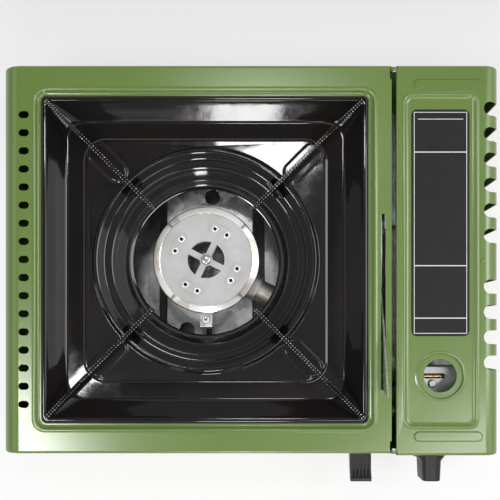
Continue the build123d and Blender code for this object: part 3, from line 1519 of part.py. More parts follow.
# hanger under the panel whose long holes carry the pin
with BuildPart() as guard_hanger:
    hanger_y0 = guard_pin_y - 5
    hanger_y1 = guard_pin_y + guard_shift + 5
    for side in (-1, 1):
        ear_low_x = guard_x + side * (guard_ear_x + guard_ear / 2) - guard_ear / 2
        plate_xy(
            ear_low_x, ear_low_x + guard_ear, hanger_y0, hanger_y1,
            guard_pin_z - 5, panel_under - guard_pin_z + 5,
        )
    # flange spot-welded to the panel behind the slot
    plate_xy(
        guard_x - guard_ear_x - guard_ear, guard_x + guard_ear_x + guard_ear,
        slot_rear_y + 1, hanger_y1, panel_under - gauge, gauge,
    )
    with BuildSketch(Plane(origin=(guard_x - 6, 0, 0), x_dir=(0, 1, 0), z_dir=(1, 0, 0))):
        with Locations((guard_pin_y + guard_shift / 2, guard_pin_z)):
            SlotOverall(
                guard_shift + 2 * guard_pin_radius + 2 * pin_clearance + 0.6,
                2 * guard_pin_radius + 2 * pin_clearance,
            )
    extrude(amount=12, mode=Mode.SUBTRACT)
save(guard_hanger.part, "guard_hanger")
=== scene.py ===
import json
import math

import bpy
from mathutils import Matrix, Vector


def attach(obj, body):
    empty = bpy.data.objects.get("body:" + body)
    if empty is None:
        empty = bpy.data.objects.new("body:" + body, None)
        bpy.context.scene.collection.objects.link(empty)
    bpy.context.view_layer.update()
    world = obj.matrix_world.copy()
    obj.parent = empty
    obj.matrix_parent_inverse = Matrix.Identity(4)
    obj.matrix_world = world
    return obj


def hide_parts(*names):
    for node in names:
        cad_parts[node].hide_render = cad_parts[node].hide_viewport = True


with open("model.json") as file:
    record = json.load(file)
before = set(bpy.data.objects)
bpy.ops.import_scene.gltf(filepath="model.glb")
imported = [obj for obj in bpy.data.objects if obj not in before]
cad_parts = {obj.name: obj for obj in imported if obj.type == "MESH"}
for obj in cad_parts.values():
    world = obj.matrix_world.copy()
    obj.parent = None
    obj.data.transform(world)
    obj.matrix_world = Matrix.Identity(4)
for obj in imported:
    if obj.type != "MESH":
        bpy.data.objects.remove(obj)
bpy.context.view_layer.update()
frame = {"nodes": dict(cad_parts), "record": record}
nodes = frame["nodes"]
print("stove: frame loaded with", len(nodes), "nodes")


# shader maths: a Reading is one socket, and sums on it add Math nodes
class Reading:
    def __init__(self, finish, socket):
        self.finish = finish
        self.socket = socket

    def math(self, operation, first, second):
        return self.finish.node("ShaderNodeMath", {"operation": operation}, {0: first, 1: second})

    def __add__(self, other):
        return self.math("ADD", self, other)

    def __radd__(self, other):
        return self.math("ADD", other, self)

    def __sub__(self, other):
        return self.math("SUBTRACT", self, other)

    def __rsub__(self, other):
        return self.math("SUBTRACT", other, self)

    def __mul__(self, other):
        return self.math("MULTIPLY", self, other)

    def __rmul__(self, other):
        return self.math("MULTIPLY", other, self)

    def __lt__(self, other):
        return self.math("LESS_THAN", self, other)

    def __abs__(self):
        return self.finish.node("ShaderNodeMath", {"operation": "ABSOLUTE"}, {0: self})


class Finish:
    def __init__(self, name):
        self.material = bpy.data.materials.new(name)
        self.material.use_nodes = True
        self.tree = self.material.node_tree
        self.tree.nodes.clear()
        self.output = self.tree.nodes.new("ShaderNodeOutputMaterial")

    def node(self, kind, settings=None, sockets=None, out=0):
        made = self.tree.nodes.new(kind)
        for key, value in (settings or {}).items():
            if key == "stops":
                ramp = made.color_ramp
                ramp.elements[0].position, ramp.elements[0].color = value[0]
                ramp.elements[1].position, ramp.elements[1].color = value[-1]
                for position, colour in value[1:-1]:
                    ramp.elements.new(position).color = colour
            else:
                setattr(made, key, value)
        for key, value in (sockets or {}).items():
            if isinstance(value, Reading):
                self.tree.links.new(value.socket, made.inputs[key])
            else:
                made.inputs[key].default_value = value
        return Reading(self, made.outputs[out])

    def place(self):
        return self.node("ShaderNodeTexCoord", out="Object")

    def axes(self, point):
        split = self.node("ShaderNodeSeparateXYZ", sockets={0: point})
        return [Reading(self, split.socket.node.outputs[i]) for i in range(3)]

    def noise(self, scale, detail=3, roughness=0.5, point=None):
        return self.node("ShaderNodeTexNoise", sockets={
            "Vector": point or self.place(), "Scale": scale, "Detail": detail, "Roughness": roughness})

    def ramp(self, value, stops):
        return self.node("ShaderNodeValToRGB", {"stops": stops}, {0: value})

    def spread(self, value, low, high, start=0.0, end=1.0):
        return self.node("ShaderNodeMapRange", {}, {0: value, 1: start, 2: end, 3: low, 4: high})

    def blend(self, factor, first, second):
        return self.node("ShaderNodeMix", {"data_type": "RGBA"}, {0: factor, 6: first, 7: second}, out=2)

    def bump(self, height, strength, distance):
        return self.node("ShaderNodeBump", sockets={"Height": height, "Strength": strength, "Distance": distance})

    def surface(self, **values):
        names = {
            "colour": "Base Color", "roughness": "Roughness", "metallic": "Metallic", "normal": "Normal",
            "specular": "Specular IOR Level",
        }
        shader = self.node("ShaderNodeBsdfPrincipled", {}, {names[k]: v for k, v in values.items()})
        self.tree.links.new(shader.socket, self.output.inputs["Surface"])
        return self.material


def grey(level, tint=(1, 1, 1)):
    return (level * tint[0], level * tint[1], level * tint[2], 1)


# finishes
greenPaint = {
    "lit": (0.128, 0.208, 0.043, 1), "deep": (0.122, 0.200, 0.040, 1), "fleck": (0.30, 0.38, 0.20, 1),
    "peelScale": 420, "peelHeight": 0.00004,
}


def makeGreenPaint():
    look = greenPaint
    finish = Finish("greenPaint")
    cloudy = finish.noise(9, 3)
    speck = finish.noise(1900, 2)
    colour = finish.blend(finish.spread(cloudy, 0, 1, 0.2, 0.8), look["deep"], look["lit"])
    colour = finish.blend(finish.spread(speck, 0, 0.10, 0.45, 0.75), colour, look["fleck"])
    peel = finish.noise(look["peelScale"], 2)
    grain = finish.noise(2600, 1)
    roughness = finish.spread(finish.noise(24, 2), 0.20, 0.24, 0.1, 0.9)
    normal = finish.bump(peel + grain * 0.4, 0.25, look["peelHeight"])
    return finish.surface(colour=colour, roughness=roughness, normal=normal, specular=0.95)


blackEnamel = {
    "base": (0.0075, 0.0075, 0.0085, 1), "brown": (0.012, 0.009, 0.008, 1), "dust": grey(0.10),
    "waveScale": 26, "waveHeight": 0.0006,
}


def makeBlackEnamel():
    look = blackEnamel
    finish = Finish("blackEnamel")
    colour = finish.blend(finish.spread(finish.noise(14, 4), 0, 1, 0.4, 0.7), look["base"], look["brown"])
    dust = finish.noise(2300, 2)
    colour = finish.blend(finish.spread(dust, 0, 0.5, 0.72, 0.84), colour, look["dust"])
    wave = finish.noise(look["waveScale"], 2)
    peel = finish.noise(260, 2)
    roughness = finish.spread(finish.noise(70, 5), 0.05, 0.13, 0.35, 0.75)
    normal = finish.bump(wave + peel * 0.05, 0.5, look["waveHeight"])
    return finish.surface(colour=colour, roughness=roughness, normal=normal, specular=0.55)


# painted highlights: the beads are coloured pale grey and made metallic in random specks, so they show as glints along
# the black enamel edge; partly worn enamel showing metal, partly painted glints
def makeBeadGlints():
    finish = Finish("beadEnamel")
    colour = finish.ramp(finish.noise(700, 3), [(0.35, grey(0.10)), (0.65, grey(0.55, (1, 0.97, 0.93)))])
    roughness = finish.spread(finish.noise(900, 3), 0.08, 0.2, 0.3, 0.7)
    normal = finish.bump(finish.noise(1800, 2), 0.15, 0.00005)
    return finish.surface(colour=colour, roughness=roughness, metallic=0.7, normal=normal, specular=0.7)


def makeRivetSteel():
    finish = Finish("rivetSteel")
    colour = finish.ramp(finish.noise(500, 3), [(0.3, grey(0.72)), (0.7, grey(0.92))])
    roughness = finish.spread(finish.noise(1200, 3), 0.25, 0.4, 0.3, 0.7)
    normal = finish.bump(finish.noise(1500, 2), 0.1, 0.00003)
    return finish.surface(colour=colour, roughness=roughness, metallic=0.55, normal=normal)


def makeGalvanised():
    finish = Finish("galvanised")
    point = finish.place()
    spangle = finish.node("ShaderNodeTexVoronoi", {"feature": "F1"}, {"Vector": point, "Scale": 210.0}, out="Color")
    tone = finish.node("ShaderNodeRGBToBW", {}, {0: spangle})
    cloud = finish.noise(30, 4)
    colour = finish.ramp(tone * 0.5 + cloud * 0.5, [
        (0.2, grey(0.36, (1, 1, 1.02))), (0.5, grey(0.50, (1, 1, 1.01))), (0.8, grey(0.62))])
    roughness = finish.spread(tone, 0.28, 0.46)
    fine = finish.noise(1500, 2)
    normal = finish.bump(fine * 0.3 + tone * 0.1, 0.15, 0.00006)
    return finish.surface(colour=colour, roughness=roughness, metallic=0.95, normal=normal)


def makeBrightSteel():
    finish = Finish("brightSteel")
    colour = finish.ramp(finish.noise(120, 4), [(0.3, grey(0.50, (1, 0.99, 0.97))), (0.7, grey(0.68))])
    scratch = finish.noise(900, 5, 0.7)
    roughness = finish.spread(scratch, 0.16, 0.34, 0.3, 0.7)
    normal = finish.bump(scratch, 0.12, 0.00004)
    return finish.surface(colour=colour, roughness=roughness, metallic=1.0, normal=normal)


burnerPlace = (-0.0312, 0.0132)


def latheLines(finish, scale):
    x, y, z = finish.axes(finish.place())
    x = x - burnerPlace[0]
    y = y - burnerPlace[1]
    reach = finish.node("ShaderNodeMath", {"operation": "SQRT"}, {0: x * x + y * y})
    line = finish.node("ShaderNodeCombineXYZ", {}, {0: reach * scale, 1: z * scale})
    return finish.noise(1.0, 3, 0.6, line)


def makePolishedRing():
    finish = Finish("polishedRing")
    lines = latheLines(finish, 4200)
    cloud = finish.noise(38, 3)
    colour = finish.ramp(cloud, [
        (0.3, grey(0.74, (1, 0.97, 0.93))), (0.55, grey(0.88, (1, 0.99, 0.97))), (0.8, grey(0.94))])
    patches = finish.noise(62, 2, 0.4)
    colour = finish.blend(finish.spread(patches, 0, 0.75, 0.52, 0.60), colour, grey(0.56, (1, 0.90, 0.80)))
    roughness = finish.spread(lines, 0.10, 0.24, 0.3, 0.7)
    normal = finish.bump(lines, 0.2, 0.00003)
    return finish.surface(colour=colour, roughness=roughness, metallic=1.0, normal=normal)


def makeBurnerSteel():
    finish = Finish("burnerSteel")
    lines = latheLines(finish, 1800)
    cloud = finish.noise(55, 5, 0.6)
    colour = finish.ramp(cloud, [
        (0.25, grey(0.38, (1, 0.99, 0.97))), (0.5, grey(0.45)), (0.8, grey(0.52, (1, 1, 1.01)))])
    roughness = finish.spread(finish.noise(300, 4), 0.38, 0.52, 0.3, 0.7)
    normal = finish.bump(lines + finish.noise(1300, 3) * 1.2, 0.22, 0.00006)
    return finish.surface(colour=colour, roughness=roughness, metallic=0.45, normal=normal)


def makeCastAluminium(name, low, high, tint):
    finish = Finish(name)
    cloud = finish.noise(45, 4)
    grain = finish.noise(1100, 4, 0.7)
    colour = finish.ramp(cloud, [(0.3, grey(low, tint)), (0.7, grey(high, tint))])
    roughness = finish.spread(grain, 0.38, 0.6, 0.3, 0.7)
    normal = finish.bump(grain, 0.4, 0.00012)
    return finish.surface(colour=colour, roughness=roughness, metallic=0.85, normal=normal)


def makeBrass():
    finish = Finish("brass")
    colour = finish.ramp(finish.noise(90, 4), [(0.3, (0.45, 0.31, 0.13, 1)), (0.7, (0.68, 0.50, 0.24, 1))])
    scratch = finish.noise(1500, 3)
    roughness = finish.spread(scratch, 0.2, 0.38, 0.3, 0.7)
    normal = finish.bump(scratch, 0.1, 0.00004)
    return finish.surface(colour=colour, roughness=roughness, metallic=1.0, normal=normal)


def makeCeramic():
    finish = Finish("whiteCeramic")
    cloud = finish.noise(160, 4)
    colour = finish.ramp(cloud, [(0.3, (0.74, 0.70, 0.63, 1)), (0.6, (0.84, 0.82, 0.78, 1))])
    grain = finish.noise(1700, 2)
    roughness = finish.spread(grain, 0.35, 0.55, 0.3, 0.7)
    normal = finish.bump(grain, 0.2, 0.00005)
    return finish.surface(colour=colour, roughness=roughness, normal=normal)


def makeMoulding(name, level, roughLow, roughHigh, grainScale, grainHeight):
    finish = Finish(name)
    grain = finish.noise(grainScale, 3, 0.6)
    colour = finish.ramp(finish.noise(70, 4), [(0.3, grey(level)), (0.75, grey(level * 1.7))])
    roughness = finish.spread(grain, roughLow, roughHigh, 0.3, 0.7)
    normal = finish.bump(grain, 0.4, grainHeight)
    return finish.surface(colour=colour, roughness=roughness, normal=normal)


labelLook = {
    "box": (0.1108, 0.1508, -0.0402, 0.1158),    # plate edges in X and Y
    "keyInset": 0.0017, "keyWidth": 0.00045, "dividers": (0.0865, 0.0083, -0.0278), "dividerWidth": 0.0007,
    "titleLine": 0.1092, "titleReach": 0.78,     # a finer, shorter line near the top
}


def makeLabelPlate():
    look = labelLook
    finish = Finish("labelPlate")
    x, y, z = finish.axes(finish.place())
    left, right, front, rear = look["box"]
    halfX = (right - left) / 2
    halfY = (rear - front) / 2
    fromMidX = abs(x - (left + right) / 2)
    fromMidY = abs(y - (front + rear) / 2)
    outside = look["keyInset"]
    inside = look["keyInset"] + look["keyWidth"]
    outer = (fromMidX < halfX - outside) * (fromMidY < halfY - outside)
    inner = (fromMidX < halfX - inside) * (fromMidY < halfY - inside)
    paint = outer - inner
    for divider in look["dividers"]:
        paint = paint + (abs(y - divider) < look["dividerWidth"] / 2) * inner
    titleLine = abs(y - look["titleLine"]) < look["dividerWidth"] / 3
    paint = paint + titleLine * (fromMidX < halfX * look["titleReach"])
    cloud = finish.noise(120, 4)
    black = finish.ramp(cloud, [(0.3, grey(0.009)), (0.7, grey(0.013, (1, 1, 1.04)))])
    worn = finish.spread(finish.noise(1500, 3), 0.82, 1.0, 0.3, 0.6)
    colour = finish.blend(paint * worn, black, grey(0.74))
    roughness = finish.spread(finish.noise(240, 3), 0.42, 0.55, 0.3, 0.7)
    normal = finish.bump(finish.noise(520, 2), 0.2, 0.00003)
    return finish.surface(colour=colour, roughness=roughness, normal=normal, specular=0.25)


finishes = {
    "green_enamel": makeGreenPaint(),
    "black_enamel": makeBlackEnamel(),
    "galvanised": makeGalvanised(),
    "bright_steel": makeBrightSteel(),
    "polished_ring": makePolishedRing(),
    "burner_steel": makeBurnerSteel(),
    "cast_aluminium": makeCastAluminium("castAluminium", 0.42, 0.56, (1, 0.99, 0.97)),
    "tube_aluminium": makeCastAluminium("tubeAluminium", 0.40, 0.52, (1, 0.93, 0.82)),
    "brass": makeBrass(),
    "white_ceramic": makeCeramic(),
    "black_plastic": makeMoulding("blackPlastic", 0.010, 0.34, 0.5, 900, 0.00012),
    "black_gloss_plastic": makeMoulding("glossPlastic", 0.007, 0.10, 0.2, 300, 0.00003),
    "black_rubber": makeMoulding("blackRubber", 0.016, 0.6, 0.8, 700, 0.0001),
    "wire_sleeve": makeMoulding("wireSleeve", 0.011, 0.35, 0.5, 1200, 0.00005),
    "label_black": makeLabelPlate(),
}
slotOf = {part["node"]: part["material_slot"] for part in frame["record"]["subparts"]}
for name, node in nodes.items():
    node.data.materials.clear()
    node.data.materials.append(finishes[slotOf[name]])
print("stove: finishes made")


# making and handing over pieces
def startFresh():
    bpy.ops.object.select_all(action="DESELECT")


def pickOnly(piece):
    startFresh()
    piece.select_set(True)
    bpy.context.view_layer.objects.active = piece


def levelled(piece, angle):
    # smooth shading that leaves wide flats flat
    bpy.ops.object.shade_smooth_by_angle(angle=math.radians(angle))
    weight = piece.modifiers.new("weight", "WEIGHTED_NORMAL")
    weight.keep_sharp = True
    weight.weight = 80
    bpy.ops.object.modifier_apply(modifier="weight")


def settle(piece, angle):
    # place and size go into the mesh, then smooth shading
    pickOnly(piece)
    bpy.ops.object.transform_apply(location=True, rotation=True, scale=True)
    levelled(piece, angle)


def dress(piece, slot, body, finish=None):
    piece.data.materials.clear()
    piece.data.materials.append(finish or finishes[slot])
    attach(piece, body)


def carve(piece, tool, crossed=False):
    # the tool is taken out of the piece and then deleted
    pickOnly(piece)
    cut = piece.modifiers.new("cut", "BOOLEAN")
    cut.operation = "DIFFERENCE"
    cut.solver = "EXACT"
    cut.object = tool
    cut.use_self = crossed
    bpy.ops.object.modifier_apply(modifier="cut")
    bpy.data.objects.remove(tool)


def repeated(piece, step, count):
    # copies in a row, as part of the same mesh
    row = piece.modifiers.new("row", "ARRAY")
    row.use_relative_offset = False
    row.use_constant_offset = True
    row.constant_offset_displace = step
    row.count = count
    bpy.ops.object.modifier_apply(modifier="row")


easing = {"merge": 0.00001, "flatAngle": 0.5, "segments": 2, "edgeAngle": 30, "smoothAngle": 40}


def softened(node, width, name=None):
    # a merged copy of a node with eased edges
    piece = nodes[node].copy()
    piece.data = nodes[node].data.copy()
    piece.parent = None
    piece.name = name or node + "Eased"
    bpy.context.collection.objects.link(piece)
    pickOnly(piece)
    bpy.ops.object.mode_set(mode="EDIT")
    bpy.ops.mesh.select_all(action="SELECT")
    bpy.ops.mesh.remove_doubles(threshold=easing["merge"])
    bpy.ops.mesh.dissolve_limited(angle_limit=math.radians(easing["flatAngle"]))
    bpy.ops.object.mode_set(mode="OBJECT")
    edge = piece.modifiers.new("edge", "BEVEL")
    edge.width = width
    edge.segments = easing["segments"]
    edge.limit_method = "ANGLE"
    edge.angle_limit = math.radians(easing["edgeAngle"])
    edge.harden_normals = False
    bpy.ops.object.modifier_apply(modifier="edge")
    levelled(piece, easing["smoothAngle"])
    return piece


# camera, floor, light
view = {"place": (0.0114, -0.0408, 0.686), "lens": 62.85, "sensor": 36, "shift": (-0.034, 0.174), "clip": 0.01}
bpy.ops.object.camera_add(location=view["place"], rotation=(0, 0, 0))
camera = bpy.context.object
camera.name = "camera"
camera.data.lens = view["lens"]
camera.data.sensor_width = view["sensor"]
camera.data.shift_x, camera.data.shift_y = view["shift"]
camera.data.clip_start = view["clip"]
bpy.context.scene.camera = camera

# white paper whose glow turns a little grey towards the rear, a painted shadow behind the stove; lighter to the camera
# than to the lamps
floorLook = {
    "size": 8.0, "tone": (0.86, 0.855, 0.85, 1), "cameraShare": 0.75, "rearShadeSpan": (-0.22, 0.24),
    "stops": [(0.0, grey(1)), (0.6, (1, 0.995, 0.99, 1)), (1.0, (0.80, 0.79, 0.80, 1))],
}
startFresh()
bpy.ops.mesh.primitive_plane_add(size=floorLook["size"], location=(0, 0, 0))
floor = bpy.context.object
floor.name = "floor"
floorFinish = Finish("floorPaper")
paper = floorFinish.node("ShaderNodeBsdfDiffuse", {}, {"Color": floorLook["tone"]})
x, y, z = floorFinish.axes(floorFinish.place())
# painted shadow: the glow seen by the camera darkens towards the rear, behind the stove
rearShadeTone = floorFinish.ramp(floorFinish.spread(y, 0, 1, *floorLook["rearShadeSpan"]), floorLook["stops"])
white = floorFinish.node("ShaderNodeEmission", {}, {"Color": rearShadeTone, "Strength": 1.0})
cameraRay = floorFinish.node("ShaderNodeLightPath", out="Is Camera Ray")
mixed = floorFinish.node("ShaderNodeMixShader", {}, {0: cameraRay * floorLook["cameraShare"], 1: paper, 2: white})
floorFinish.tree.links.new(mixed.socket, floorFinish.output.inputs["Surface"])
floor.data.materials.append(floorFinish.material)

# surroundings: a dim horizon, a bright band of diffusers, a dim ceiling
studio = {
    "backdrop": (0.80, 0.80, 0.81, 1), "tint": (1, 0.99, 0.98),
    # height, level
    "bands": [
        (0.10, 0.30), (0.46, 0.26), (0.55, 0.95), (0.67, 0.95), (0.75, 0.06), (0.957, 0.06), (0.975, 0.32), (1.0, 0.32),
    ],
}
world = bpy.data.worlds.new("studio")
bpy.context.scene.world = world
world.use_nodes = True
sky = world.node_tree
glow = sky.nodes["Background"]
glow.inputs["Strength"].default_value = 1.0
skyPlace = sky.nodes.new("ShaderNodeTexCoord")
skySplit = sky.nodes.new("ShaderNodeSeparateXYZ")
skyRamp = sky.nodes.new("ShaderNodeValToRGB")
skyRays = sky.nodes.new("ShaderNodeLightPath")
backdrop = sky.nodes.new("ShaderNodeBackground")
backdrop.inputs["Color"].default_value = studio["backdrop"]
skyMix = sky.nodes.new("ShaderNodeMixShader")
for source, target in (
    (skyPlace.outputs["Generated"], skySplit.inputs[0]),
    (skySplit.outputs["Z"], skyRamp.inputs[0]),
    (skyRamp.outputs[0], glow.inputs["Color"]),
    (skyRays.outputs["Is Camera Ray"], skyMix.inputs[0]),
    (glow.outputs[0], skyMix.inputs[1]),
    (backdrop.outputs[0], skyMix.inputs[2]),
    (skyMix.outputs[0], sky.nodes["World Output"].inputs["Surface"]),
):
    sky.links.new(source, target)
for step, (height, level) in enumerate(studio["bands"]):
    if step < 2:
        stop = skyRamp.color_ramp.elements[step]
        stop.position = height
    else:
        stop = skyRamp.color_ramp.elements.new(height)
    stop.color = grey(level, studio["tint"])

lamps = [
    # name, place, aim, width, depth, watts
    ("stripBox", (0.0, 0.325, 1.15), (0.0, 0.325, 0.0), 0.17, 0.085, 1.3),
    ("sideBox", (0.80, 0.10, 1.10), (0.2, 0.05, 0.06), 0.56, 0.50, 4.5),
    ("nearBox", (0.30, -0.36, 1.15), (0.1, -0.1, 0.06), 0.50, 0.10, 1.8),
    ("cornerBox", (-0.49, -0.27, 1.15), (-0.15, -0.1, 0.06), 0.30, 0.16, 4.4),
    ("rightBox", (1.15, 0.30, 0.62), (0, 0, 0.06), 1.3, 0.9, 2.4),
    ("frontBox", (-0.045, -1.25, 0.93), (0, 0, 0.06), 0.18, 0.40, 4.4),
]
for name, place, aim, width, depth, watts in lamps:
    bpy.ops.object.light_add(type="AREA", location=place)
    lamp = bpy.context.object
    lamp.name = name
    lamp.data.shape = "RECTANGLE"
    lamp.data.size = width
    lamp.data.size_y = depth
    lamp.data.energy = watts
    lamp.rotation_euler = (Vector(aim) - Vector(place)).to_track_quat("-Z", "Y").to_euler()
bpy.context.scene.view_settings.view_transform = "Standard"
print("stove: camera and light set")


# pressed green sheet: node, width of the eased edge
sheetEdge = {"body_shell": 0.0003, "cassette_cover": 0.0004}
shell = softened("body_shell", sheetEdge["body_shell"], "shellPress")

# vents punched clear of the thin skin that the roll leaves under them
vent = {
    "first": (-0.1559, -0.0871, 0.0855), "pitch": 0.01245, "count": 17,
    "radius": 0.00248, "half": 0.0011, "depth": 0.003, "sides": 32,
}
startFresh()
bpy.ops.mesh.primitive_cylinder_add(
    vertices=vent["sides"], radius=vent["radius"], depth=vent["depth"], rotation=(0, 0, math.pi / vent["sides"]))
punch = bpy.context.object
bpy.ops.object.transform_apply(location=False, rotation=True, scale=False)
for corner in punch.data.vertices:
    corner.co.x += math.copysign(vent["half"], corner.co.x)
punch.location = vent["first"]
repeated(punch, (0, vent["pitch"], 0), vent["count"])
carve(shell, punch)
levelled(shell, easing["smoothAngle"])
dress(shell, "green_enamel", "chassis")
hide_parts("body_shell")
cover = softened("cassette_cover", sheetEdge["cassette_cover"], "coverPress")
dress(cover, "green_enamel", "cover")
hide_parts("cassette_cover")
print("stove: sheet pieces done")

# drip tray
tray = {
    "centre": (-0.0315, 0.0125), "skin": 0.0009,
    # square rings: width, corner radius, height
    "rings": [
        (0.2260, 0.0040, 0.0839), (0.2252, 0.0038, 0.0852), (0.2238, 0.0035, 0.0864), (0.2224, 0.0032, 0.08695),
        (0.2206, 0.0034, 0.0870), (0.2184, 0.0040, 0.0869), (0.2172, 0.0043, 0.0865), (0.2150, 0.0052, 0.0850),
        (0.2050, 0.0085, 0.0813), (0.1972, 0.0104, 0.0784), (0.1950, 0.0112, 0.0775), (0.1930, 0.0120, 0.0770),
        (0.1908, 0.0126, 0.07688), (0.1706, 0.0152, 0.07785), (0.1692, 0.0152, 0.0781), (0.1680, 0.0150, 0.0784),
        (0.1664, 0.0148, 0.07855), (0.1640, 0.0144, 0.0785),
    ],
    # bowl circles: radius, height
    "bowl": [
        (0.0798, 0.07845), (0.0790, 0.0787), (0.0782, 0.0796), (0.0774, 0.0805), (0.0765, 0.0809), (0.0754, 0.0807),
        (0.0743, 0.0800), (0.0722, 0.0779), (0.0712, 0.0769), (0.0702, 0.0764), (0.0690, 0.07625), (0.0664, 0.0762),
        (0.0652, 0.0759), (0.0640, 0.0748), (0.0626, 0.0736), (0.0600, 0.0720), (0.0570, 0.0692), (0.0552, 0.0674),
        (0.0536, 0.0662), (0.0515, 0.0656),
    ],
    "cornerSteps": 10, "circleSteps": 96, "smooth": 50,
}


def cornerRing(centre, width, depth, corner, z):
    bpy.ops.mesh.primitive_plane_add(size=1, location=(centre[0], centre[1], z))
    ring = bpy.context.object
    ring.scale = (width, depth, 1)
    bpy.ops.object.transform_apply(location=False, rotation=False, scale=True)
    bpy.ops.object.mode_set(mode="EDIT")
    bpy.ops.mesh.select_all(action="SELECT")
    bpy.ops.mesh.bevel(affect="VERTICES", offset=corner, segments=tray["cornerSteps"], offset_type="OFFSET")
    bpy.ops.mesh.delete(type="ONLY_FACE")
    bpy.ops.object.mode_set(mode="OBJECT")
    return ring


def roundRing(radius, z):
    bpy.ops.mesh.primitive_circle_add(
        vertices=tray["circleSteps"], radius=radius, fill_type="NOTHING", location=(*tray["centre"], z))
    return bpy.context.object


def joinUp(pieces, name):
    startFresh()
    for piece in pieces:
        piece.select_set(True)
    bpy.context.view_layer.objects.active = pieces[0]
    bpy.ops.object.join()
    whole = bpy.context.object
    whole.name = name
    bpy.ops.object.transform_apply(location=True, rotation=True, scale=True)
    return whole


def bridgeRings(piece):
    # each ring came in with its own vertex group, so neighbours are picked by name
    groups = sorted(group.name for group in piece.vertex_groups)
    bpy.ops.object.mode_set(mode="EDIT")
    bpy.ops.mesh.select_mode(type="VERT")
    for inner, outer in zip(groups, groups[1:]):
        bpy.ops.mesh.select_all(action="DESELECT")
        for name in (inner, outer):
            piece.vertex_groups.active_index = piece.vertex_groups[name].index
            bpy.ops.object.vertex_group_select()
        bpy.ops.mesh.bridge_edge_loops()
    bpy.ops.mesh.select_all(action="SELECT")
    bpy.ops.mesh.normals_make_consistent(inside=False)
    bpy.ops.object.mode_set(mode="OBJECT")
    piece.vertex_groups.clear()


def tagRings(rings):
    for order, ring in enumerate(rings):
        group = ring.vertex_groups.new(name=f"ring{order:02d}")
        group.add(list(range(len(ring.data.vertices))), 1.0, "REPLACE")
    return rings


def faceUp(piece):
    if sum(face.normal.z * face.area for face in piece.data.polygons) < 0:
        bpy.ops.object.mode_set(mode="EDIT")
        bpy.ops.mesh.flip_normals()
        bpy.ops.object.mode_set(mode="OBJECT")


def thicken(piece, depth):
    skin = piece.modifiers.new("skin", "SOLIDIFY")
    skin.thickness = depth
    skin.offset = -1
    bpy.ops.object.modifier_apply(modifier="skin")


startFresh()
rings = [cornerRing(tray["centre"], width, width, corner, z) for width, corner, z in tray["rings"]]
circles = [roundRing(*circle) for circle in tray["bowl"]]
trayPress = joinUp(tagRings(rings + circles), "trayPress")
bridgeRings(trayPress)
faceUp(trayPress)
thicken(trayPress, tray["skin"])
settle(trayPress, tray["smooth"])

# obround bosses of the tray and ribs of the cover: raised in steps from a rounded plate
boss = {
    "reach": 0.0960, "low": 0.0779, "length": 0.034, "width": 0.016, "trim": 0.0001, "wall": 0.0007,
    "roundSteps": 12, "smooth": 60,
    # way in, way up
    "steps": ((0.0006, 0.0002), (0.0006, 0.0006), (0.0005, 0.0004), (0.0007, 0.0002)),
}
rib = {
    "places": ((0.1360, 0.1328), (0.1360, -0.1092)), "low": 0.0858,
    "length": 0.0474, "width": 0.0072, "trim": 0.00005, "wall": 0.0003,
    "roundSteps": 12, "smooth": 60,
    "steps": ((0.0004, 0.00030), (0.0005, 0.00028), (0.0006, 0.00018), (0.0006, 0.00006)),
}


def pressed(look, place, name):
    startFresh()
    bpy.ops.mesh.primitive_plane_add(size=1, location=(*place, look["low"]))
    piece = bpy.context.object
    piece.name = name
    piece.scale = (look["length"], look["width"], 1)
    bpy.ops.object.transform_apply(location=False, rotation=False, scale=True)
    bpy.ops.object.mode_set(mode="EDIT")
    bpy.ops.mesh.select_all(action="SELECT")
    corner = look["width"] / 2 - look["trim"]
    bpy.ops.mesh.bevel(affect="VERTICES", offset=corner, segments=look["roundSteps"], offset_type="OFFSET")
    bpy.ops.mesh.extrude_region_move(TRANSFORM_OT_translate={"value": (0, 0, look["wall"])})
    for inset, rise in look["steps"]:
        bpy.ops.mesh.inset(thickness=inset, depth=rise)
    bpy.ops.object.mode_set(mode="OBJECT")
    return piece


for turn in range(4):
    diagonal = math.radians(45 + 90 * turn)
    piece = pressed(boss, (0, 0), f"trayBoss{turn + 1}")
    piece.location.x = tray["centre"][0] + boss["reach"] * math.cos(diagonal)
    piece.location.y = tray["centre"][1] + boss["reach"] * math.sin(diagonal)
    piece.rotation_euler.z = diagonal
    settle(piece, boss["smooth"])
    dress(piece, "black_enamel", "tray")
dress(trayPress, "black_enamel", "tray")
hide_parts("drip_tray")
print("stove: tray done")

for order, place in enumerate(rib["places"]):
    piece = pressed(rib, place, f"coverRib{order + 1}")
    settle(piece, rib["smooth"])
    dress(piece, "green_enamel", "cover")

# rolled edges round the pressed panel of the cover and round the tray
rollSkin = 0.0002
rollSmooth = 60
cornerShare = 0.6       # of the way in, taken off each corner's radius
rolls = {
    "panelEdge": {
        "centre": (0.1308, 0.0116), "width": 0.0522, "depth": 0.2308, "corner": 0.0062, "body": "cover",
        # way in from the outer edge, height
        "profile": [
            (-0.0004, 0.08602), (0.0, 0.08612), (0.0004, 0.08628), (0.0009, 0.08634), (0.0014, 0.08622),
            (0.0019, 0.08588), (0.0025, 0.08532), (0.0031, 0.08500), (0.0038, 0.08486), (0.0044, 0.08482),
        ],
    },
    "seatEdge": {
        "centre": (-0.0315, 0.0125), "width": 0.2360, "depth": 0.2360, "corner": 0.0085, "body": "chassis",
        "profile": [
            (-0.0010, 0.08602), (-0.0005, 0.08608), (0.0, 0.08622), (0.0005, 0.08630), (0.0010, 0.08622),
            (0.0015, 0.08590), (0.0021, 0.08520), (0.0027, 0.08450), (0.0033, 0.08412), (0.0040, 0.08395),
        ],
    },
}


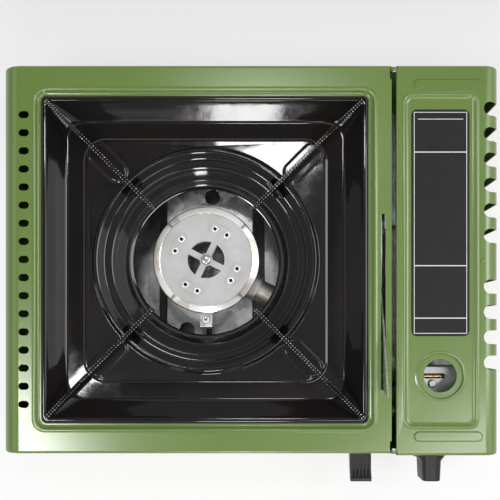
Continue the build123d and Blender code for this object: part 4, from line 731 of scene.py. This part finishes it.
def rolledEdge(name, look):
    startFresh()
    turns = []
    for inward, z in look["profile"]:
        turns.append(cornerRing(
            look["centre"], look["width"] - 2 * inward, look["depth"] - 2 * inward,
            look["corner"] - inward * cornerShare, z))
    edge = joinUp(tagRings(turns), name)
    bridgeRings(edge)
    faceUp(edge)
    thicken(edge, rollSkin)
    settle(edge, rollSmooth)
    dress(edge, "green_enamel", look["body"])


for name, look in rolls.items():
    rolledEdge(name, look)

# burner
burner = {
    "centre": burnerPlace, "steps": 144, "ports": 36, "smooth": 40,
    # outline of the ring: radius, height, back to its start
    "ring": [
        (0.0322, 0.0752), (0.0323, 0.0758), (0.0327, 0.0760), (0.0333, 0.07575), (0.0366, 0.0742), (0.0371, 0.0739),
        (0.0374, 0.0733), (0.0374, 0.0724), (0.0374, 0.0706), (0.0373, 0.0697), (0.0370, 0.0694), (0.0354, 0.0694),
        (0.0352, 0.0700), (0.0352, 0.0730), (0.0322, 0.0732), (0.0322, 0.0752),
    ],
    "portBand": (0.0706, 0.0724), "portDepth": 0.0012, "portRim": 0.00012, "portRadius": 0.0372,
    "screwSteps": 48, "screwSmooth": 35,
    "screw": [
        (0.00001, 0.0670), (0.0014, 0.0670), (0.0015, 0.0672), (0.0015, 0.07595), (0.0032, 0.0760), (0.0035, 0.0763),
        (0.0034, 0.0768), (0.0029, 0.0773), (0.0019, 0.07757), (0.00001, 0.0776),
    ],
    "eyeletSteps": 32, "eyeletSmooth": 50,
    "eyelet": [
        (0.00115, 0.0750), (0.00115, 0.0761), (0.00128, 0.07642), (0.00155, 0.0766), (0.0019, 0.0766), (0.0023, 0.0764),
        (0.00256, 0.0761), (0.0026, 0.0757), (0.0026, 0.0750), (0.00115, 0.0750),
    ],
    "padCircle": 0.0225, "padAngles": (62, 152, 242, 332), "eyeletSpread": 12,
    "recess": (0.0036, 0.0007, 0.0016), "recessHeight": 0.0776, "recessTurn": 28,
}


def lathe(profile, centre, steps, name):
    # a circle drawn out from ring to ring, then closed where it meets its start
    startFresh()
    radius, height = profile[0]
    bpy.ops.mesh.primitive_circle_add(vertices=steps, radius=radius, location=(*centre, height))
    piece = bpy.context.object
    piece.name = name
    bpy.ops.object.mode_set(mode="EDIT")
    bpy.ops.mesh.select_mode(type="VERT")
    bpy.ops.mesh.select_all(action="SELECT")
    for wide, high in profile[1:]:
        bpy.ops.mesh.extrude_region_move(TRANSFORM_OT_translate={"value": (0, 0, high - height)})
        bpy.ops.transform.resize(value=(wide / radius, wide / radius, 1), center_override=(*centre, high))
        radius, height = wide, high
    bpy.ops.mesh.select_all(action="SELECT")
    bpy.ops.mesh.remove_doubles(threshold=0.00002)
    bpy.ops.mesh.normals_make_consistent(inside=False)
    bpy.ops.object.mode_set(mode="OBJECT")
    return piece


def markFaces(piece, test):
    # leaves the faces that pass the test selected in edit mode
    bpy.ops.object.mode_set(mode="EDIT")
    bpy.ops.mesh.select_mode(type="FACE")
    bpy.ops.mesh.select_all(action="DESELECT")
    bpy.ops.object.mode_set(mode="OBJECT")
    for face in piece.data.polygons:
        face.select = test(piece.matrix_world @ face.center)
    bpy.ops.object.mode_set(mode="EDIT")


def isPort(spot):
    # one column of faces in four, on the outer wall
    x, y = spot.x - burner["centre"][0], spot.y - burner["centre"][1]
    low, high = burner["portBand"]
    column = int(math.degrees(math.atan2(y, x)) % 360 * burner["steps"] / 360)
    chosen = column % (burner["steps"] // burner["ports"]) == 0
    return chosen and low < spot.z < high and math.hypot(x, y) > burner["portRadius"]


ring = lathe(burner["ring"], burner["centre"], burner["steps"], "burnerRing")
markFaces(ring, isPort)
bpy.ops.mesh.inset(thickness=burner["portRim"], depth=-burner["portDepth"], use_individual=True)
bpy.ops.object.mode_set(mode="OBJECT")
settle(ring, burner["smooth"])
dress(ring, "polished_ring", "chassis")
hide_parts("burner_ring")

hubScrew = lathe(burner["screw"], burner["centre"], burner["screwSteps"], "hubScrew")
arms = []
for turn in (burner["recessTurn"], burner["recessTurn"] + 90):
    bpy.ops.mesh.primitive_cube_add(
        size=1, location=(*burner["centre"], burner["recessHeight"]), rotation=(0, 0, math.radians(turn)))
    arm = bpy.context.object
    arm.scale = burner["recess"]
    arms.append(arm)
carve(hubScrew, joinUp(arms, "crossTool"), crossed=True)
settle(hubScrew, burner["screwSmooth"])
dress(hubScrew, "bright_steel", "chassis")
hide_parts("burner_screw")

# rolled rim of the sight hole
sightLook = {
    "centre": (0.1310, -0.0676), "steps": 72, "smooth": 60,
    "profile": [
        (0.0176, 0.08482), (0.0171, 0.0850), (0.0167, 0.08518), (0.0162, 0.08515), (0.0158, 0.0849), (0.0156, 0.0846),
        (0.0176, 0.0846), (0.0176, 0.08482),
    ],
}
sightRim = lathe(sightLook["profile"], sightLook["centre"], sightLook["steps"], "sightRim")
settle(sightRim, sightLook["smooth"])
dress(sightRim, "green_enamel", "cover")

# eyelets of the four pads
eyelets = []
for angle in burner["padAngles"]:
    for side in (-1, 1):
        turn = math.radians(angle + side * burner["eyeletSpread"])
        x = burner["centre"][0] + burner["padCircle"] * math.cos(turn)
        y = burner["centre"][1] + burner["padCircle"] * math.sin(turn)
        eyelets.append(lathe(burner["eyelet"], (x, y), burner["eyeletSteps"], "eyelet"))
rivets = joinUp(eyelets, "padEyelets")
settle(rivets, burner["eyeletSmooth"])
dress(rivets, "bright_steel", "chassis", makeRivetSteel())
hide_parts("burner_eyelets")
print("stove: burner done")

# pan supports: blades with a beaded top edge
fin = {
    "turns": {"rear_right": 45, "rear_left": 135, "front_left": 225, "front_right": 315},
    "edge": 0.0003, "bead": 0.0006, "across": 0.0008, "pitch": 0.00215, "smooth": 60,
    # way out from the middle and height: inner end, bend, start of the fall, outer end
    "tip": (0.0500, 0.09738), "bend": (0.1175, 0.09738), "fall": (0.1195, 0.09688), "foot": (0.1532, 0.08925),
}


def beadRow(start, finish, side):
    # beads from one place to another along the blade
    out, up = finish[0] - start[0], finish[1] - start[1]
    run = math.hypot(out, up)
    bpy.ops.mesh.primitive_uv_sphere_add(
        segments=12, ring_count=8, radius=fin["bead"], location=(start[0], side * fin["across"], start[1]))
    bead = bpy.context.object
    repeated(bead, (out / run * fin["pitch"], 0, up / run * fin["pitch"]), int(run / fin["pitch"]) + 1)
    return bead


# the beads wear pale metallic specks, painted glints on the black enamel
beadGlintFinish = makeBeadGlints()
for name, turn in fin["turns"].items():
    startFresh()
    rows = []
    for side in (-1, 1):
        rows.append(beadRow(fin["tip"], fin["bend"], side))
        rows.append(beadRow(fin["fall"], fin["foot"], side))
    beads = joinUp(rows, "finBeads_" + name)
    beads.rotation_euler.z = math.radians(turn)
    beads.location = (*tray["centre"], 0)
    settle(beads, fin["smooth"])
    dress(beads, "black_enamel", "tray", beadGlintFinish)
    blade = softened("pan_support_" + name, fin["edge"], "finBlade_" + name)
    dress(blade, "black_enamel", "tray")
    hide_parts("pan_support_" + name)
print("stove: pan supports done")

# pieces whose edges only want easing: node, width of the eased edge
bodyOf = {node: body for body, held in frame["record"]["behaviour"]["bodies"].items() for node in held}
eased = {
    "burner_plate": 0.00022, "knob": 0.00035, "lock_lever": 0.0004, "guard_arm": 0.00025, "dial_plate": 0.0003,
    "lever_frame": 0.0002, "igniter_bracket": 0.0002, "burner_channel": 0.0002, "label_plate": 0.00012,
    "regulator_bracket": 0.0002, "cassette_collar": 0.0002, "cassette_carriage": 0.0002, "lever_crank": 0.0002,
    "heat_divider": 0.0002, "base_plate": 0.0002, "piezo_igniter": 0.0004, "guard_hanger": 0.0002,
}
for node, width in eased.items():
    piece = softened(node, width)
    dress(piece, slotOf[node], bodyOf[node])
    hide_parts(node)
print("stove: eased pieces done")
